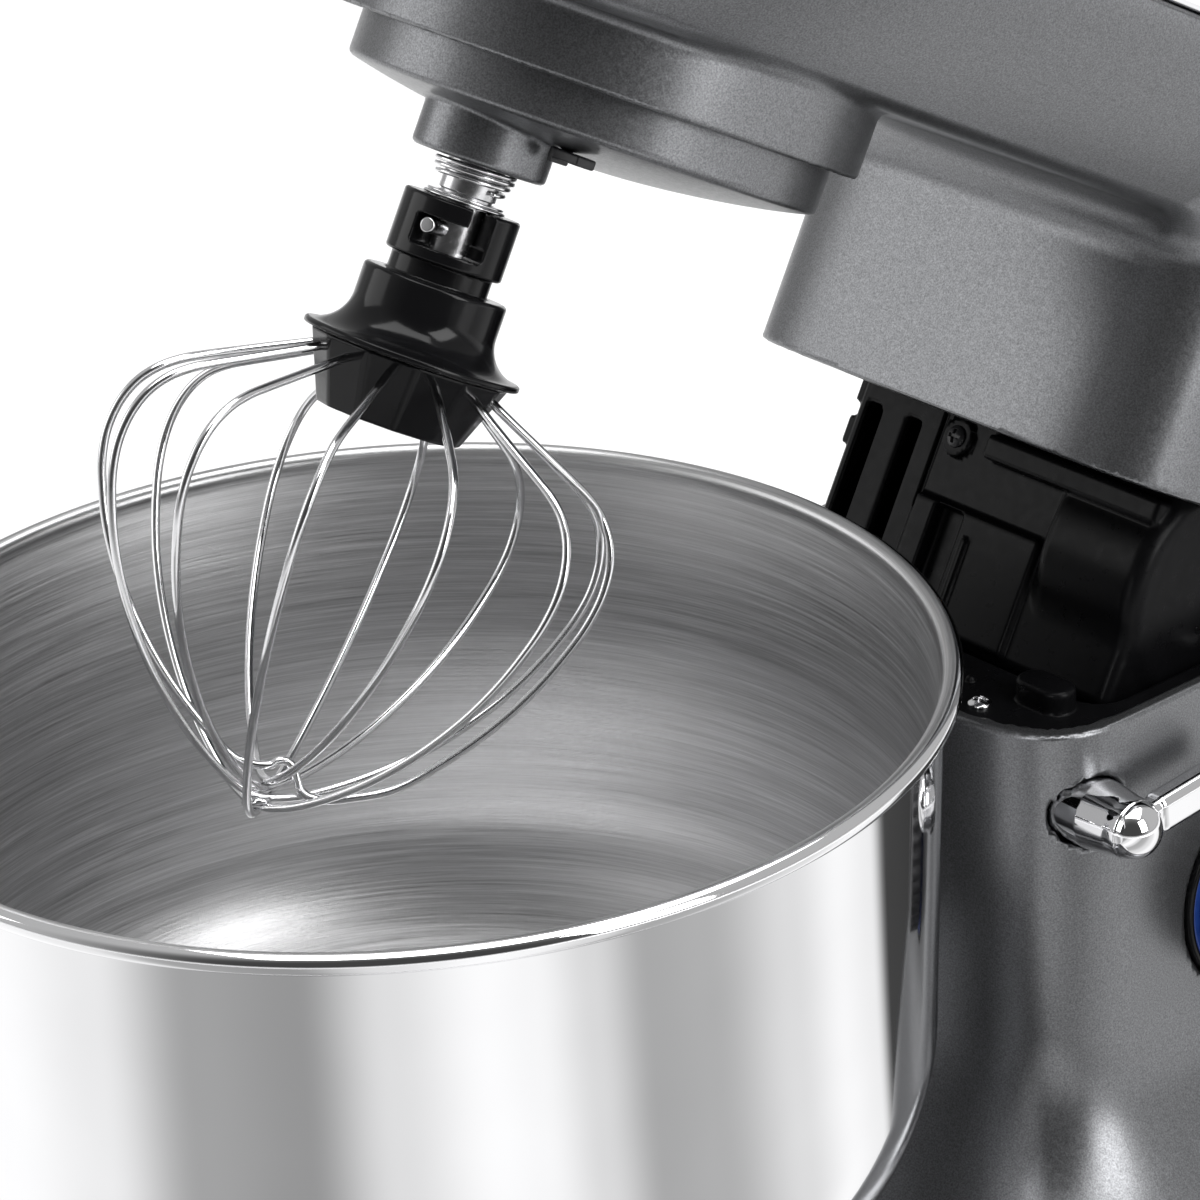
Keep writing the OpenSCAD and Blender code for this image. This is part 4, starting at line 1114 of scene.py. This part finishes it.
GLAND = shifted(STAND, 0, column_back, gland_z) @ Matrix.Rotation(radians(-90), 4, "X")
gland_line = rounded([(3.6, -7.9), (7.3, -7.9), (7.3, -3), (6.4, -2.6), (6.4, -1.2), (7.3, -0.6),
                      (9.9, 0.1), (9.9, 1.5), (3.6, 1.5), (3.6, -7.9)], 0.3)
finished(lathe("cord_grommet", gland_line, GLAND, 96), "soft_rubber", "stand", "cord_gland")

# The latch bolt's spring at rest; the real spring shortens as the bolt draws back, but this coil keeps its length.
LATCH_TURNS = 4.5
LATCH_WIRE_R = 0.4
coil_low, coil_high = span("latch_spring", STAND)
coil_middle = (coil_low + coil_high) / 2
coil_reach = (coil_high[0] - coil_low[0]) / 2 - LATCH_WIRE_R
turns = np.linspace(0, 1, 181)
angle = 2 * pi * LATCH_TURNS * turns
coil_y = coil_low[1] + LATCH_WIRE_R + (coil_high[1] - coil_low[1] - 2 * LATCH_WIRE_R) * turns
latch_coil = wire("latch_coil", np.stack([coil_reach * np.cos(angle), coil_y,
                                          coil_middle[2] + coil_reach * np.sin(angle)], 1),
                  LATCH_WIRE_R, STAND, 10)
finished(latch_coil, "bright_wire", "stand", "latch_spring")
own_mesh(latch_coil)

feet_high = span("suction_feet", STAND)[1]
FEET = [(-60, -58), (60, -58), (-86, 60), (86, 60), (-76, 220), (76, 220)]
FOOT_H = 6.0
foot_line = rounded([(0, 2.5), (3, 2.5), (12, 0), (15, 0), (14.4, 1.6), (9, FOOT_H), (2.5, FOOT_H),
                     (2.5, feet_high[2]), (0, feet_high[2])], [0, 0.5, 0.5, 0.6, 1.0, 0.8, 0.2, 0.4, 0])
cups = [lathe("cup", foot_line, shifted(STAND, x, y, 0), 64) for x, y in FEET]
finished(joined("rubber_feet", cups), "soft_rubber", "stand", "suction_feet")

# --- camera, light and floor ---------------------------------------------------

FOCAL = 165
CAMERA_FROM_RIM = Vector((813.08, -606.98, 506.07))
AIM = Vector((-0.69750, 0.56950, -0.43492))
RIGHT = Vector((0.65204, 0.75615, -0.05558))

camera_data = bpy.data.cameras.new("camera")
camera_data.lens = FOCAL
camera_data.sensor_width = 36
camera_data.clip_start = 0.05
camera_data.clip_end = 50
camera = added("camera", camera_data)
up = RIGHT.cross(AIM)
turn = Matrix((RIGHT, up, -AIM)).transposed().to_4x4()
camera.matrix_world = Matrix.Translation(STAND @ ((CAMERA_FROM_RIM + Vector((0, 0, rim_z))) * MM)) @ turn
bpy.context.scene.camera = camera

bpy.context.scene.view_settings.view_transform = "Standard"
world = bpy.data.worlds.new("studio")
bpy.context.scene.world = world
world.use_nodes = True
room = world.node_tree
glow = room.nodes["Background"].inputs
glow[0].default_value = (1, 1, 1, 1)
# The room is dark round the camera and light everywhere else.
DARK_SIDE = (0.71, -0.65, 0.275)
LIGHT_ROOM = 0.5
DARK_ROOM = 0.06
direction = add_node(room, "TexCoord").outputs["Generated"]
facing = add_node(room, "VectorMath", {0: direction, 1: DARK_SIDE}, operation="DOT_PRODUCT")
shade = add_node(room, "MapRange",
                 {"Value": facing.outputs["Value"], "From Min": 0.3, "From Max": 0.92,
                  "To Min": LIGHT_ROOM, "To Max": DARK_ROOM}, interpolation_type="SMOOTHSTEP")
feed(room, glow[1], shade.outputs["Result"])


def softbox(name, at, aim, width, height, watts):
    light = bpy.data.lights.new(name, "AREA")
    light.shape = "RECTANGLE"
    light.size = width
    light.size_y = height
    light.energy = watts
    at, aim = Vector(at), Vector(aim)
    turn = (aim - at).to_track_quat("-Z", "Y").to_matrix().to_4x4()
    added(name, light).matrix_world = Matrix.Translation(at) @ turn


softbox("key", (-1.9, -1.75, 1.05), (0, 0, 0.3), 1.7, 1.4, 12)
softbox("fill", (1.9, 0.2, 1.1), (0, 0.1, 0.25), 0.9, 1.5, 24)
softbox("top", (0.2, 0.2, 2.4), (0, 0, 0.2), 2.2, 2.2, 66)

FLOOR_HALF = 30000
floor_corners = [(x * FLOOR_HALF, y * FLOOR_HALF, 0) for x, y in ((-1, -1), (1, -1), (1, 1), (-1, 1))]
floor = make_object("floor", floor_corners, [(0, 1, 2, 3)], Matrix.Identity(4))
floor.data.materials.append(finish["pale_floor"])

# Painted reflection: brightness of a glowing ring, seen only in polished metal, by direction from the bowl's axis;
# it paints grey bands into the bowl's polished outside.
PAINTED_REFLECTION_TONES = [(-180, 1.15), (-122, 1.15), (-98, 0.98), (-78, 0.42), (-58, 0.35), (-42, 0.86), (-24, 1.15),
               (-16, 1.1), (-5, 0.82), (6, 0.46), (18, 0.50), (38, 0.84), (52, 1.1), (63, 1.0),
               (69, 0.06), (95, 0.04), (112, 0.5), (140, 1.1), (180, 1.15)]


def painted_reflection_glow():
    """Painted reflection: a glow that changes with direction, in place of studio flags and cards laid about the
    bowl.
    """
    material = bpy.data.materials.new("painted_reflection_ring")
    material.use_nodes = True
    tree = material.node_tree
    tree.nodes.clear()
    place = add_node(tree, "TexCoord").outputs["Object"]
    split = add_node(tree, "SeparateXYZ", {0: place}).outputs
    turn = add_node(tree, "Math", {0: split[1], 1: split[0]}, operation="ARCTAN2")
    share = add_node(tree, "MapRange",
                     {"Value": turn.outputs[0], "From Min": -pi, "From Max": pi})
    ramp = add_node(tree, "ValToRGB", {0: share.outputs["Result"]})
    ramp.color_ramp.interpolation = "EASE"
    stops = ramp.color_ramp.elements
    while len(stops) < len(PAINTED_REFLECTION_TONES):
        stops.new(0.5)
    for stop, (degrees, tone) in zip(stops, PAINTED_REFLECTION_TONES):
        stop.position = (degrees + 180) / 360
        stop.color = (tone, tone, tone, 1)
    glow = add_node(tree, "Emission", {0: ramp.outputs[0]})
    add_node(tree, "OutputMaterial", {0: glow.outputs[0]})
    return material


# Glowing ring that only polished metal sees, a painted reflection of grey bands; camera rays, diffuse light and
# shadows pass it by.
tones = lathe("painted_reflection_ring", [(130, 0.6), (900, 0.6)], STAND, 96)
tones.data.materials.append(painted_reflection_glow())
for kind in ("camera", "diffuse", "transmission", "volume_scatter", "shadow"):
    setattr(tones, "visible_" + kind, False)

# --- scene update ------------------------------------------------------------

bpy.context.view_layer.update()
